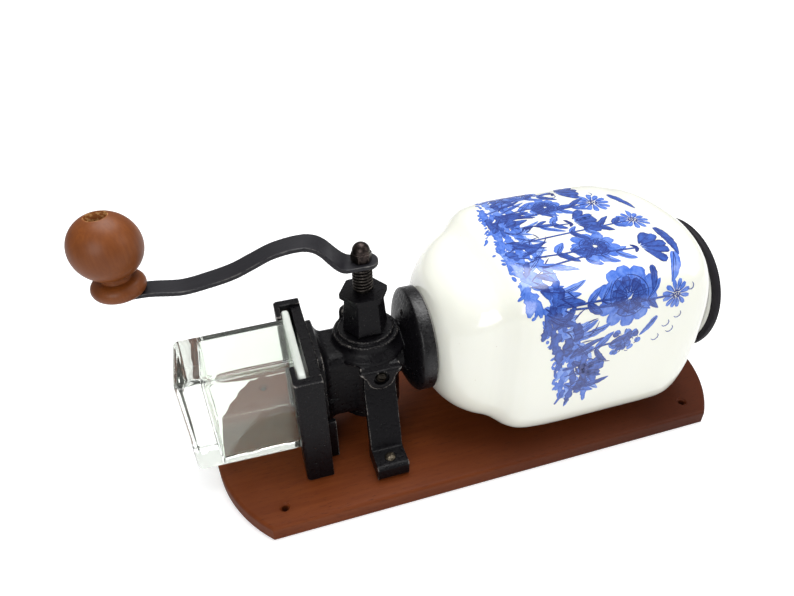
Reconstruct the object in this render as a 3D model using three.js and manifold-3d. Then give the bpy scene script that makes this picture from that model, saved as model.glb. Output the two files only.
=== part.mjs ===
// Wall-mounted coffee grinder: a cast iron mill on a wooden board, fed from a ceramic bean jar,
// with a hand crank in front and a glass cup in a rail holder under it.
// Millimetres. The wall is the plane z = 0, +Z comes out of it and +X runs up it, so the jar's lid
// is at the +X end and the cup at the -X end. The origin is the middle of the board's back face.

import * as THREE from "three";
import { mergeVertices } from "three/addons/utils/BufferGeometryUtils.js";
import Module from "manifold-3d";

// Clearances
const seatGap = 0.3;
const threadGap = 0.3;
const pitchTravel = 0.9;
const overrun = 1;
const mergeDistance = 0.001;

// Back board
const boardLength = 350;
const boardWidth = 135;
const boardThickness = 11;
const boardEndRise = 27.5;
const boardRounding = 2.4;
const boardHoleInset = 36.5;
const boardHoleMargin = 12.5;
const boardHoleRadius = 2.2;
const boardSinkRadius = 3.4;

// Where the crank's axis stands, measured down from the board's middle
const spindleDrop = 71;

// Mill housing: the hub round the burrs, measured out from the wall
const hubBase = 33.5;
const hubRadius = 20;
const hubTop = 89.5;
const ridgeRadius = 24.5;
const ridgeDrop = 11.5;
const ridgeLip = 1.6;
const collarRadius = 20.2;
const collarDrop = 4.6;
const collarRing = 2;
const innerRingRadius = 17.2;
const grooveDepth = 0.8;
const chamberRadius = 14.4;
const burrSeatRadius = 16.6;
const chamberRoof = 78;
const threadRadius = 10;

// Upright ear on the collar
const earWidth = 7.4;
const earHeight = 11;
const earThickness = 3.4;
const earTurn = THREE.MathUtils.degToRad(122);

// Ears of the housing that the legs are screwed to
const tabWidth = 17;
const tabFlare = 4.5;
const tabShift = 1.8;
const tabFace = 28;
const tabThickness = 3.6;
const tabDrop = 28.4;
const tabCorner = 8;
const tabShelf = 3;
const tabScrewDrop = 19.9;
const tabSinkRadius = 4.9;
const tabSinkDepth = 1.9;

// Legs to the board
const legWidth = 20;
const legTopThickness = 3.8;
const legFootThickness = 7;
const legFootFace = 40;
const legBend = 60;
const lugReach = 15;
const lugHeight = 10.7;
const lugBevel = 2.2;
const castBevel = 0.8;

// Screws
const footScrewRadius = 1.9;
const footScrewHeadRadius = 3.4;
const footScrewHeadHeight = 1.7;
const footScrewDepth = 8;
const legScrewRadius = 1.9;
const legScrewHeadRadius = 3.5;
const legScrewHeadHeight = 2.2;
const coverScrewRadius = 1.2;
const coverScrewHeadRadius = 2.2;
const coverScrewHeadHeight = 1.6;
const coverScrewLength = 9;
const holderScrewRadius = 1.7;
const holderScrewHeadRadius = 3.2;
const holderScrewLength = 10;
const screwSlotWidth = 0.9;
const screwSlotDepth = 0.8;

// Cup holder: a plate with two C-shaped rails, open at the front end
const railFace = 105.3;
const railDepth = 16.6;
const railHalfSpread = 41.4;
const railWeb = 6;
const railLipReach = 17.9;
const railLipThickness = 3.3;
const railTop = 90.2;
const plateThickness = 6.2;
const plateTopDrop = 2.2;
const railRounding = 1.4;
const ribThickness = 3.6;
const ribReach = 6.6;
const ribTop = 42;
const portHalfWidth = 12.5;
const portLow = 37.5;
const portHigh = 63;
const portRounding = 5;
const holderScrewSpread = 18.6;
const holderScrewHeight = 51;

// Chute between the hub and the cup holder
const chuteHalfWidth = 17.4;
const chuteTop = 82;
const chuteFlangeHalfWidth = 23.4;
const chuteFlangeLow = 24;
const chuteFlangeTop = 87.6;
const chuteFlangeThickness = 3.2;
const chuteFlare = 5.2;
const chuteRounding = 6.5;
const chuteMouthHigh = 45;

// Glass cup
const cupLength = 70.6;
const cupFlangeThickness = 4.8;
const cupFlangeHalfWidth = 34.6;
const cupFlangeHigh = 89.6;
const cupFlangeRounding = 6;
const cupHalfWidth = 23;
const cupLow = 19.4;
const cupHigh = 91;
const cupTaper = 0.8;
const cupRounding = 4.6;
const cupWall = 3.2;
const cupBase = 9;
const cupHeel = 3.4;

// Funnel that carries the jar
const jarAxisHeight = 73.5;
const funnelRadius = 33.4;
const funnelRimDrop = 1.6;
const funnelFace = 35.4;
const funnelRim = 7.6;
const funnelDepth = 8;
const neckRadius = 15;
const neckUnderRoof = 12;
const neckHeight = chamberRoof - neckUnderRoof;
const neckBoreRadius = 9;
const neckBoreRise = 2.6;
const funnelBoreRadius = 14.5;

// Bean jar
const gasketThickness = 0.9;
const gasketInner = 24.5;
const gasketOuter = 30.2;
const jarLength = 183;
const jarHalfDepth = 60.9;
const jarHalfWidth = 65;
const jarLean = 1.6;
const jarSway = 3;
const jarWall = 5;
const jarFloor = 6;
const jarFloorHole = 13.5;
const jarMouthRadius = 38;

// Ring and screws that clamp the jar to the funnel
const clampInner = 14.2;
const clampOuter = 25.5;
const clampThickness = 2.4;
const clampScrewCircle = 20;
const clampScrewRadius = 1.9;
const clampScrewHeadRadius = 3.3;
const clampScrewHeadHeight = 2.1;
const clampScrewLength = 16;

// Jar lid
const lidRadius = 46.4;
const lidThickness = 3.9;
const lidCrown = 2.4;
const lidEdge = 1;
const spigotRadius = 36.4;
const spigotWall = 3;
const spigotLength = 9;
const sealThickness = 0.9;
const sealLength = 6;

// Burrs
const outerBurrHeight = 14;
const outerBurrLow = 46;
const burrGap = 0.8;
const coneLow = 45.6;
const coneHeight = 20;
const coneFootRadius = 11.6;
const coneTipRadius = 6.6;
const toothDepth = 1.3;
const coneTeeth = 12;
const ringTeeth = 18;
const coneTwist = THREE.MathUtils.degToRad(55);

// Spindle, its thrust washer and the cover that holds its lower end
const spindleRadius = 4.2;
const spindleGap = 0.4;
const shoulderRadius = 6.8;
const shoulderHeight = 2;
const washerRadius = 8.6;
const washerThickness = 1.2;
const squareSide = 5.8;
const spindleTipRadius = 2.9;
const spindleTipLength = 7.2;
const coverThickness = 3;
const coverBossRadius = 8;
const coverBossHeight = 4.6;
const coverScrewCircle = 18.2;

// Adjuster: threaded sleeve, tapered six-sided column and thin six-sided head
const sleeveLength = 10.4;
const columnFootAcross = 24.4;
const columnTopAcross = 20.8;
const columnHeight = 22.4;
const headAcross = 25.6;
const headThickness = 3.6;

// Compression spring
const springWire = 1.4;
const springRadius = 5.35;
const springTurns = 7.5;
const springStepsPerTurn = 8;
const springSides = 5;
const springLength = 17.2;

// Crank
const crankLength = 126.5;
const crankSkew = 0.42;
const crankThickness = 2.5;
const crankEyeRadius = 9.6;
const crankEyeWidth = 16.6;
const crankEndWidth = 12.4;
const crankHump = 18.4;
const crankDip = 4;
const crankEndRise = 6.3;

// Acorn nut
const nutAcross = 11;
const nutHexHeight = 5;
const nutChamfer = 0.6;
const nutDomeRadius = 5.2;
const nutDomeCylinder = 0.8;

// Knob and the pin that it turns on
const knobBallRadius = 17.6;
const knobBallHeight = 26.4;
const knobBeadRadius = 13.5;
const knobBeadRound = 4.6;
const knobBeadHeight = 3.6;
const knobNeckRadius = 7.2;
const knobRecessRadius = 5.2;
const knobRecessDepth = 7.4;
const pinRadius = 2.4;
const pinHeadRadius = 4.4;
const pinHeadHeight = 2.4;
const rivetRadius = 4.2;
const rivetHeight = 0.7;

// How finely round forms are cut
const fine = 36;
const medium = 24;
const coarse = 14;
const small = 10;

// Shares along the jar from its floor end to its mouth: [place, half size, squareness, throw],
// where the throw off the axis is as the squareness if it isn't given
const jarShares = [
  [0, 0.49, 0],
  [0.012, 0.6, 0.05],
  [0.03, 0.675, 0.12],
  [0.062, 0.745, 0.27],
  [0.105, 0.795, 0.48],
  [0.143, 0.822, 0.64],
  [0.166, 0.845, 0.74],
  [0.188, 0.882, 0.83],
  [0.214, 0.93, 0.91],
  [0.252, 0.97, 0.97],
  [0.312, 0.99, 1],
  [0.42, 1, 1],
  [0.6, 1, 1],
  [0.75, 1, 1],
  [0.83, 0.982, 0.86, 0.65],
  [0.893, 0.95, 0.44, 1.1],
  [0.946, 0.848, 0.11, 1.85],
  [0.982, 0.732, 0.03, 0.6],
  [1, 0.701, 0, 0],
];
// Shares along the crank from the spindle: [place, height], of the hump above the eye
const crankShares = [
  [-0.08, 0],
  [0, 0],
  [0.06, 0],
  [0.092, 0.12],
  [0.125, 0.37],
  [0.157, 0.65],
  [0.19, 0.85],
  [0.228, 0.965],
  [0.27, 1],
  [0.33, 0.97],
  [0.4, 0.87],
  [0.48, 0.65],
  [0.56, 0.44],
  [0.66, 0.3],
];
// How far a round section goes toward a square one where the jar is squarest
const jarSquareShare = 1.4;
const crankDipShare = 0.77;
const crankRiseShare = 0.9;
// Shares of the hub's flare between the ridge and the collar: [rise, radius]
const domeShares = [
  [0.12, 0.08],
  [0.38, 0.5],
  [0.68, 0.86],
];
// Shares of the funnel's neck: [place out from the neck, growth of radius and of height]
const funnelShares = [
  [0.08, 0.06],
  [0.35, 0.45],
  [0.62, 0.8],
  [0.86, 0.97],
];

const wasm = await Module();
wasm.setup();

// Materials
function finish(color, roughness, metalness) {
  return new THREE.MeshStandardMaterial({ color, roughness, metalness });
}
const wood = finish("#6f3e24", 0.5, 0);
const knobWood = finish("#8f5535", 0.45, 0);
const castIron = finish("#1c1b1e", 0.4, 0.3);
const blackStrap = finish("#3a393f", 0.4, 0.4);
const steel = finish("#a8a6a2", 0.35, 1);
const darkSteel = finish("#6a6560", 0.35, 1);
const ceramic = finish("#f2f2e8", 0.2, 0);
const glass = finish("#dfe7e6", 0.08, 0);
const lidPlastic = finish("#2e2c30", 0.5, 0);
const rubber = finish("#8b8a86", 0.9, 0);

// Turns geometry into a solid that booleans can use, with its faces pointing out
function solid(geometry) {
  const plain = new THREE.BufferGeometry();
  const source = geometry.index ? geometry.toNonIndexed() : geometry;
  plain.setAttribute("position", source.getAttribute("position"));
  const merged = mergeVertices(plain, mergeDistance);
  const index = merged.index.array;
  const points = merged.getAttribute("position");
  const corners = [new THREE.Vector3(), new THREE.Vector3(), new THREE.Vector3()];
  const kept = [];
  let volume = 0;
  for (let i = 0; i < index.length; i += 3) {
    const [a, b, c] = index.slice(i, i + 3);
    if (a === b || b === c || c === a) continue;
    kept.push([a, b, c]);
    [a, b, c].forEach((v, k) => corners[k].fromBufferAttribute(points, v));
    volume += corners[0].dot(corners[1].cross(corners[2]));
  }
  if (volume < 0) kept.forEach((face) => face.reverse());
  const mesh = { numProp: 3, vertProperties: points.array, triVerts: new Uint32Array(kept.flat()) };
  return new wasm.Manifold(new wasm.Mesh(mesh));
}

// A boolean solid's surface as geometry
function surface(made) {
  const mesh = made.getMesh();
  const geometry = new THREE.BufferGeometry();
  const count = mesh.numProp;
  const points = new Float32Array((mesh.vertProperties.length / count) * 3);
  for (let i = 0; i * count < mesh.vertProperties.length; i++)
    points.set(mesh.vertProperties.subarray(i * count, i * count + 3), i * 3);
  geometry.setAttribute("position", new THREE.BufferAttribute(points, 3));
  geometry.setIndex(new THREE.BufferAttribute(mesh.triVerts, 1));
  return geometry;
}

function joined(...geometries) {
  return geometries.map(solid).reduce((sum, next) => sum.add(next));
}

// A named mesh of a solid, placed in its parent
function piece(name, made, material, parent, x = 0, y = 0, z = 0) {
  const mesh = new THREE.Mesh(surface(made), material);
  mesh.name = name;
  mesh.position.set(x, y, z);
  parent.add(mesh);
  return mesh;
}

// A turned form about Z from [radius, height] points, which start and end on the axis or close
function turned(profile, sides) {
  const points = profile.map(([radius, height]) => new THREE.Vector2(radius, height));
  return new THREE.LatheGeometry(points, sides).rotateX(Math.PI / 2);
}

// A plain round bar about Z from one height to another
function bar(radius, low, high, sides = coarse) {
  return turned([[0, low], [radius, low], [radius, high], [0, high]], sides);
}

// Lays a form made about Z along +X
function alongX(geometry) {
  return geometry.rotateY(Math.PI / 2);
}

// A closed skin over rings of points, each ring with as many points as the next
function loft(rings) {
  const count = rings[0].length;
  const points = rings.flat();
  const faces = [];
  const cap = (ring, first, flip) => {
    const centre = [0, 1, 2].map((k) => ring.reduce((sum, p) => sum + p[k], 0) / count);
    const middle = points.push(centre) - 1;
    for (let i = 0; i < count; i++) {
      const edge = [first + i, first + ((i + 1) % count)];
      faces.push([middle, ...(flip ? edge.reverse() : edge)]);
    }
  };
  for (let r = 0; r + 1 < rings.length; r++)
    for (let i = 0; i < count; i++) {
      const a = r * count + i;
      const b = r * count + ((i + 1) % count);
      faces.push([a, b, b + count], [a, b + count, a + count]);
    }
  cap(rings[0], 0, true);
  cap(rings.at(-1), (rings.length - 1) * count, false);
  const geometry = new THREE.BufferGeometry();
  geometry.setAttribute("position", new THREE.Float32BufferAttribute(points.flat(), 3));
  geometry.setIndex(faces.flat());
  return geometry;
}

// A round ring that faces X
function roundRing(x, height, radius, count) {
  return Array.from({ length: count }, (_, i) => {
    const angle = (2 * Math.PI * i) / count;
    return [x, radius * Math.cos(angle), height + radius * Math.sin(angle)];
  });
}

// A rectangular ring with round corners that faces X
function boxRing(x, halfWidth, low, high, rounding, cornerSteps = 4) {
  const middle = (low + high) / 2;
  const sides = [[1, 1], [-1, 1], [-1, -1], [1, -1]];
  return sides.flatMap(([across, up], corner) =>
    Array.from({ length: cornerSteps + 1 }, (_, i) => {
      const angle = (Math.PI / 2) * (corner + i / cornerSteps);
      const y = across * (halfWidth - rounding) + rounding * Math.cos(angle);
      const z = middle + up * ((high - low) / 2 - rounding) + rounding * Math.sin(angle);
      return [x, y, z];
    }),
  );
}

// A flat outline pushed along Z from low to high
function extruded(shape, low, high, bevel = 0) {
  const options = { depth: high - low - 2 * bevel, curveSegments: 8 };
  options.bevelEnabled = bevel > 0;
  options.bevelSegments = 1;
  Object.assign(options, { bevelSize: bevel, bevelThickness: bevel, bevelOffset: -bevel });
  return new THREE.ExtrudeGeometry(shape, options).translate(0, 0, low + bevel);
}

function outline(points) {
  return new THREE.Shape(points.map(([x, y]) => new THREE.Vector2(x, y)));
}

// Turns a section drawn in X and Y so that it stands in Y and Z and runs along X
const acrossX = new THREE.Matrix4().set(0, 0, 1, 0, 1, 0, 0, 0, 0, 1, 0, 0, 0, 0, 0, 1);

// A regular six-sided prism about Z with two corners on the Y axis
function hexRing(across, height) {
  return Array.from({ length: 6 }, (_, i) => {
    const angle = Math.PI / 2 + (Math.PI / 3) * i;
    const radius = across / Math.sqrt(3);
    return [radius * Math.cos(angle), radius * Math.sin(angle), height];
  });
}

// The object's frame and the groups that carry its pieces
const grinder = new THREE.Group();
const onSpindle = new THREE.Group();
onSpindle.position.x = -spindleDrop;
const onJarAxis = new THREE.Group();
onJarAxis.position.set(-funnelFace, 0, jarAxisHeight);
onJarAxis.rotation.y = Math.PI / 2;
grinder.add(onSpindle, onJarAxis);

// Places that several pieces share
const boardFront = boardThickness + seatGap;
const tabScrewHeight = hubTop - tabScrewDrop;
const footScrewSpread = legFootFace + lugReach / 2;
const shelfTop = hubTop - ridgeDrop - ridgeLip / 2;
const legTop = shelfTop - tabShelf - seatGap;
const lugTop = boardFront + lugHeight;
const slotFace = railFace + plateThickness;
const ribSpread = chuteFlangeHalfWidth + seatGap + ribThickness / 2;
const lipFace = railFace + railDepth - railLipThickness;
const coverTop = hubBase - seatGap;
const sleeveLow = hubTop + pitchTravel - sleeveLength;
const columnLow = hubTop + pitchTravel;
const headLow = columnLow + columnHeight;
const headTop = headLow + headThickness;
const crankLow = headTop + springLength + 2 * seatGap;
const crankTop = crankLow + crankThickness;
const knobBase = crankTop + crankEndRise + seatGap;
const jarLow = seatGap + gasketThickness + seatGap;
const jarTop = jarLow + jarLength;

// Back board: both ends are arcs, the front edge is rounded over
function boardRing(height, inset) {
  const half = boardWidth / 2;
  const radius = (half ** 2 + boardEndRise ** 2) / (2 * boardEndRise);
  const centre = boardLength / 2 - radius;
  const reach = Math.asin((half - inset) / (radius - inset));
  const steps = 12;
  return [1, -1].flatMap((end) =>
    Array.from({ length: steps + 1 }, (_, i) => {
      const angle = reach * ((2 * i) / steps - 1);
      const x = centre + (radius - inset) * Math.cos(angle);
      return [end * x, end * (radius - inset) * Math.sin(angle), height];
    }),
  );
}

function board() {
  const rings = [boardRing(0, 0)];
  for (let i = 0; i <= 4; i++) {
    const angle = (Math.PI / 2) * (i / 4);
    const height = boardThickness - boardRounding * (1 - Math.sin(angle));
    rings.push(boardRing(height, boardRounding * (1 - Math.cos(angle))));
  }
  let made = solid(loft(rings));
  const sinkDepth = boardSinkRadius - boardHoleRadius;
  const profile = [
    [0, -overrun],
    [boardHoleRadius, -overrun],
    [boardHoleRadius, boardThickness - sinkDepth],
    [boardSinkRadius, boardThickness],
    [boardSinkRadius, boardThickness + overrun],
    [0, boardThickness + overrun],
  ];
  for (const end of [-1, 1])
    for (const side of [-1, 1]) {
      const x = end * (boardLength / 2 - boardHoleInset);
      const y = side * (boardWidth / 2 - boardHoleMargin);
      made = made.subtract(solid(turned(profile, small).translate(x, y, 0)));
    }
  const pilotLow = boardThickness - footScrewDepth - seatGap;
  for (const side of [-1, 1]) {
    const pilot = bar(footScrewRadius + seatGap, pilotLow, boardThickness + overrun);
    made = made.subtract(solid(pilot.translate(-spindleDrop, side * footScrewSpread, 0)));
  }
  return made;
}
piece("back_board", board(), wood, grinder);

// Mill housing, about the crank's axis
function hubProfile() {
  const ridge = hubTop - ridgeDrop;
  const collar = hubTop - collarDrop;
  const flare = domeShares.map(([rise, share]) => [
    ridgeRadius - (ridgeRadius - collarRadius) * share,
    ridge + ridgeLip / 2 + (collar - ridge - ridgeLip / 2) * rise,
  ]);
  return [
    [0, hubBase],
    [hubRadius, hubBase],
    [hubRadius, ridge - 2 * ridgeLip],
    [ridgeRadius, ridge - ridgeLip / 2],
    [ridgeRadius, ridge + ridgeLip / 2],
    ...flare,
    [collarRadius, collar],
    [collarRadius, collar + collarRing],
    [collarRadius - grooveDepth, collar + collarRing + grooveDepth],
    [innerRingRadius + grooveDepth, collar + collarRing + grooveDepth],
    [innerRingRadius + grooveDepth, collar + collarRing],
    [innerRingRadius, collar + collarRing],
    [innerRingRadius, hubTop - grooveDepth / 2],
    [innerRingRadius - grooveDepth, hubTop],
    [0, hubTop],
  ];
}

function chuteSolid() {
  const back = spindleDrop - railFace + seatGap;
  const flangeBack = back + chuteFlangeThickness;
  const flareEnd = flangeBack + chuteFlare;
  const rings = [boxRing(0, chuteHalfWidth, hubBase, chuteTop, chuteRounding)];
  for (const share of [0, 0.4, 0.75, 1]) {
    const grow = 1 - Math.sqrt(1 - share ** 2);
    const half = chuteHalfWidth + (chuteFlangeHalfWidth - chuteHalfWidth) * grow;
    const low = hubBase - (hubBase - chuteFlangeLow) * grow;
    const high = chuteTop + (chuteFlangeTop - chuteTop) * grow;
    rings.push(boxRing(flareEnd - chuteFlare * share, half, low, high, chuteRounding));
  }
  const last = [chuteFlangeHalfWidth, chuteFlangeLow, chuteFlangeTop, chuteRounding];
  rings.push(boxRing(back, ...last));
  return loft(rings);
}

function chuteBore() {
  const back = spindleDrop - railFace - overrun;
  const low = hubBase + coverBossHeight;
  return loft([
    boxRing(-chamberRadius + overrun, portHalfWidth - overrun, low, chuteMouthHigh, portRounding / 2),
    boxRing(-burrSeatRadius, portHalfWidth, low, chuteMouthHigh, portRounding / 2),
    boxRing(back, portHalfWidth, portLow, portHigh, portRounding),
  ]);
}

function funnelSolid() {
  const face = spindleDrop - funnelFace;
  const rim = face - funnelRim;
  const start = rim - funnelDepth;
  const middle = jarAxisHeight - funnelRimDrop;
  const rings = [0, start].map((x) => roundRing(x, neckHeight, neckRadius, medium));
  for (const [place, share] of funnelShares) {
    const height = neckHeight + (middle - neckHeight) * share;
    const radius = neckRadius + (funnelRadius - neckRadius) * share;
    rings.push(roundRing(start + funnelDepth * place, height, radius, medium));
  }
  rings.push(roundRing(rim, middle, funnelRadius, medium));
  rings.push(roundRing(face - castBevel, middle, funnelRadius, medium));
  rings.push(roundRing(face, middle, funnelRadius - castBevel, medium));
  return loft(rings);
}

function funnelBore() {
  const face = spindleDrop - funnelFace;
  const narrow = face - funnelRim - funnelDepth;
  return loft([
    roundRing(chamberRadius / 2, neckHeight + neckBoreRise, neckBoreRadius, coarse),
    roundRing(narrow, neckHeight + neckBoreRise, neckBoreRadius, coarse),
    roundRing(face - funnelRim / 2, jarAxisHeight, funnelBoreRadius, coarse),
    roundRing(face + overrun, jarAxisHeight, funnelBoreRadius, coarse),
  ]);
}

// One ear for a leg, on the +Y side, with its counterbore
function tabShape() {
  const shape = new THREE.Shape();
  const half = tabWidth / 2;
  const low = hubTop - tabDrop;
  const high = shelfTop - tabShelf + castBevel;
  shape.moveTo(-half - tabFlare, high);
  shape.lineTo(-half, low + tabCorner);
  shape.absarc(-half + tabCorner, low + tabCorner, tabCorner, Math.PI, 1.5 * Math.PI);
  shape.absarc(half - tabCorner, low + tabCorner, tabCorner, 1.5 * Math.PI, 2 * Math.PI);
  shape.lineTo(half + tabFlare, high);
  return shape;
}

function onSide(geometry, side) {
  return side > 0 ? geometry : geometry.rotateZ(Math.PI);
}

function tab(side) {
  const plate = extruded(tabShape(), -tabFace, tabThickness - tabFace, castBevel);
  plate.rotateX(Math.PI / 2);
  const half = tabWidth / 2 + tabFlare - castBevel;
  const low = shelfTop - tabShelf;
  const section = [
    [hubRadius / 2, low],
    [tabFace - castBevel, low],
    [tabFace - castBevel / 2, low + castBevel / 2],
    [ridgeRadius, shelfTop],
    [hubRadius / 2, shelfTop],
  ];
  const shelf = extruded(outline(section), -half, half).applyMatrix4(acrossX);
  return [plate, shelf].map((form) => onSide(form.translate(side * tabShift, 0, 0), side));
}

function housing() {
  const parts = [turned(hubProfile(), fine), chuteSolid(), funnelSolid(), ...tab(1), ...tab(-1)];
  const ear = new THREE.Shape();
  const earHalf = earWidth / 2;
  const earLow = hubTop - collarDrop;
  ear.moveTo(-earHalf, earLow);
  ear.lineTo(earHalf, earLow);
  ear.absarc(0, hubTop + earHeight - collarDrop - earHalf, earHalf, 0, Math.PI);
  const earPlate = extruded(ear, -earThickness / 2, earThickness / 2).rotateX(Math.PI / 2);
  const earReach = (collarRadius + innerRingRadius) / 2;
  earPlate.rotateZ(Math.PI / 2).translate(earReach - grooveDepth, 0, 0).rotateZ(earTurn);
  let made = joined(...parts, earPlate);
  const seatTop = outerBurrLow + outerBurrHeight + seatGap;
  const cuts = [
    bar(burrSeatRadius, hubBase - overrun, seatTop, medium),
    bar(chamberRadius, seatTop - overrun, chamberRoof, medium),
    bar(threadRadius + threadGap, chamberRoof - overrun, hubTop + overrun, medium),
    chuteBore(),
    funnelBore(),
  ];
  for (const side of [-1, 1]) {
    const hole = bar(legScrewRadius + seatGap, hubRadius, tabFace + overrun);
    const sink = bar(tabSinkRadius, tabFace - tabSinkDepth, tabFace + overrun);
    for (const cutter of [hole, sink]) {
      cutter.rotateX(-Math.PI / 2).translate(side * tabShift, 0, tabScrewHeight);
      cuts.push(onSide(cutter, side));
    }
    const bolt = bar(holderScrewRadius + seatGap, 0, holderScrewLength + overrun);
    alongX(bolt).translate(spindleDrop - slotFace, side * holderScrewSpread, holderScrewHeight);
    cuts.push(bolt);
    const cover = bar(coverScrewRadius + seatGap, hubBase - overrun, hubBase + coverScrewLength);
    cuts.push(cover.translate(0, side * coverScrewCircle, 0));
  }
  for (const [y, z] of clampPlaces()) {
    const hole = bar(clampScrewRadius + seatGap, -clampScrewLength, overrun);
    cuts.push(alongX(hole).translate(spindleDrop - funnelFace, y, jarAxisHeight + z));
  }
  for (const cut of cuts) made = made.subtract(solid(cut));
  return made;
}

// Where the clamp screws stand round the jar's axis, as [y, z]
function clampPlaces() {
  return [0, 1, 2].map((i) => {
    const angle = Math.PI / 2 + (2 * Math.PI * i) / 3;
    return [clampScrewCircle * Math.cos(angle), clampScrewCircle * Math.sin(angle)];
  });
}
piece("mill_housing", housing(), castIron, onSpindle);

// Legs: a flat limb that leans out from the ear to a foot lug on the board, and a little sideways
function leg(side) {
  const top = tabFace - tabThickness - seatGap;
  const inner = top - legTopThickness;
  const front = legFootFace + lugReach;
  const points = [
    [inner, legTop],
    [top, legTop],
    [top, legBend],
    [legFootFace, lugTop],
    [front - lugBevel, lugTop],
    [front, lugTop - lugBevel / 2],
    [front, boardFront + lugBevel],
    [front - lugBevel / 2, boardFront],
    [legFootFace - legFootThickness, boardFront],
    [legFootFace - legFootThickness, lugTop],
    [inner, legBend],
  ];
  const limb = extruded(outline(points), -legWidth / 2, legWidth / 2, castBevel);
  const slope = (side * tabShift) / (tabScrewHeight - boardFront);
  const lean = new THREE.Matrix4().makeShear(0, 0, 0, 0, slope, 0);
  limb.applyMatrix4(acrossX).translate(0, 0, -boardFront).applyMatrix4(lean).translate(0, 0, boardFront);
  const hole = bar(legScrewRadius + seatGap, 0, tabFace).rotateX(-Math.PI / 2);
  const foot = bar(footScrewRadius + seatGap, 0, lugTop + overrun).translate(0, footScrewSpread, 0);
  hole.translate(side * tabShift, 0, tabScrewHeight);
  return solid(limb).subtract(solid(hole)).subtract(solid(foot));
}

// A round-headed screw about Z, with its head's seat at z = 0 and a slot across the head
function roundScrew(radius, length, headRadius, headHeight) {
  const profile = [[0, -length], [radius / 2, -length], [radius, radius - length]];
  profile.push([radius, 0], [headRadius, 0]);
  for (let i = 1; i < 3; i++) {
    const angle = (Math.PI / 2) * (i / 3);
    profile.push([headRadius * Math.cos(angle), headHeight * Math.sin(angle)]);
  }
  profile.push([0, headHeight]);
  const slot = new THREE.BoxGeometry(2 * (headRadius + overrun), screwSlotWidth, 2 * screwSlotDepth);
  return solid(turned(profile, small)).subtract(solid(slot.translate(0, 0, headHeight)));
}

const sides = { near: -1, far: 1 };
for (const [place, side] of Object.entries(sides)) {
  const limb = piece(`bracket_leg_${place}`, leg(side), castIron, onSpindle);
  limb.rotation.z = side > 0 ? 0 : Math.PI;
  const footLength = lugHeight + footScrewDepth;
  const foot = roundScrew(footScrewRadius, footLength, footScrewHeadRadius, footScrewHeadHeight);
  piece(`foot_screw_${place}`, foot, steel, onSpindle, 0, side * footScrewSpread, lugTop + seatGap);
  const seat = tabFace - tabSinkDepth + seatGap;
  const reach = seat - hubRadius - 2 * seatGap;
  const bolt = roundScrew(legScrewRadius, reach, legScrewHeadRadius, legScrewHeadHeight);
  const head = piece(`leg_screw_${place}`, bolt, steel, onSpindle, tabShift, side * seat, tabScrewHeight);
  head.rotation.x = (-side * Math.PI) / 2;
}

// Cup holder, in the object's frame
function holderShape() {
  const half = railHalfSpread;
  const web = half - railWeb;
  const lip = half - railLipReach;
  const front = -railFace;
  const back = -railFace - railDepth;
  const shape = new THREE.Shape();
  shape.moveTo(front, -half);
  shape.lineTo(front, half);
  shape.lineTo(back + railRounding, half);
  shape.lineTo(back, half - railRounding);
  shape.lineTo(back, lip);
  shape.lineTo(-lipFace, lip);
  shape.lineTo(-lipFace, web);
  shape.lineTo(-slotFace, web);
  shape.lineTo(-slotFace, -web);
  shape.lineTo(-lipFace, -web);
  shape.lineTo(-lipFace, -lip);
  shape.lineTo(back, -lip);
  shape.lineTo(back, railRounding - half);
  shape.lineTo(back + railRounding, -half);
  return shape;
}

function holder() {
  const rails = extruded(holderShape(), boardFront, railTop);
  const ribs = [-1, 1].map((side) => {
    const rib = new THREE.BoxGeometry(ribReach + seatGap, ribThickness, ribTop - boardFront);
    const x = -railFace + (ribReach - seatGap) / 2;
    return rib.translate(x, side * ribSpread, (ribTop + boardFront) / 2);
  });
  let made = joined(rails, ...ribs);
  const plateTop = railTop - plateTopDrop;
  const notchWidth = 2 * (railHalfSpread - railWeb);
  const notch = new THREE.BoxGeometry(plateThickness + overrun, notchWidth, 2 * plateTopDrop);
  notch.translate(-(railFace + slotFace) / 2, 0, plateTop + plateTopDrop);
  const port = loft([
    boxRing(-slotFace - overrun, portHalfWidth, portLow, portHigh, portRounding),
    boxRing(-railFace + overrun, portHalfWidth, portLow, portHigh, portRounding),
  ]);
  const cuts = [notch, port];
  for (const side of [-1, 1]) {
    const hole = holderScrewProfile(seatGap, overrun);
    cuts.push(alongX(hole).translate(-slotFace, side * holderScrewSpread, holderScrewHeight));
  }
  for (const cut of cuts) made = made.subtract(solid(cut));
  return made;
}

// A countersunk screw along +Z with its flat head's face at z = 0, or its hole
function holderScrewProfile(gap, above) {
  const cone = holderScrewHeadRadius - holderScrewRadius;
  const radius = holderScrewRadius + gap;
  return turned([
    [0, gap ? -above : 0],
    [holderScrewHeadRadius + gap, gap ? -above : 0],
    [holderScrewHeadRadius + gap, gap],
    [radius, cone + gap],
    [radius, holderScrewLength],
    [0, holderScrewLength],
  ], small);
}
piece("cup_holder", holder(), castIron, grinder);

for (const [place, side] of Object.entries(sides)) {
  const screw = solid(holderScrewProfile(0, 0));
  const at = [-slotFace + seatGap, side * holderScrewSpread, holderScrewHeight];
  const bolt = piece(`holder_screw_${place}`, screw, steel, grinder, ...at);
  bolt.rotation.y = Math.PI / 2;
}

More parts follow.
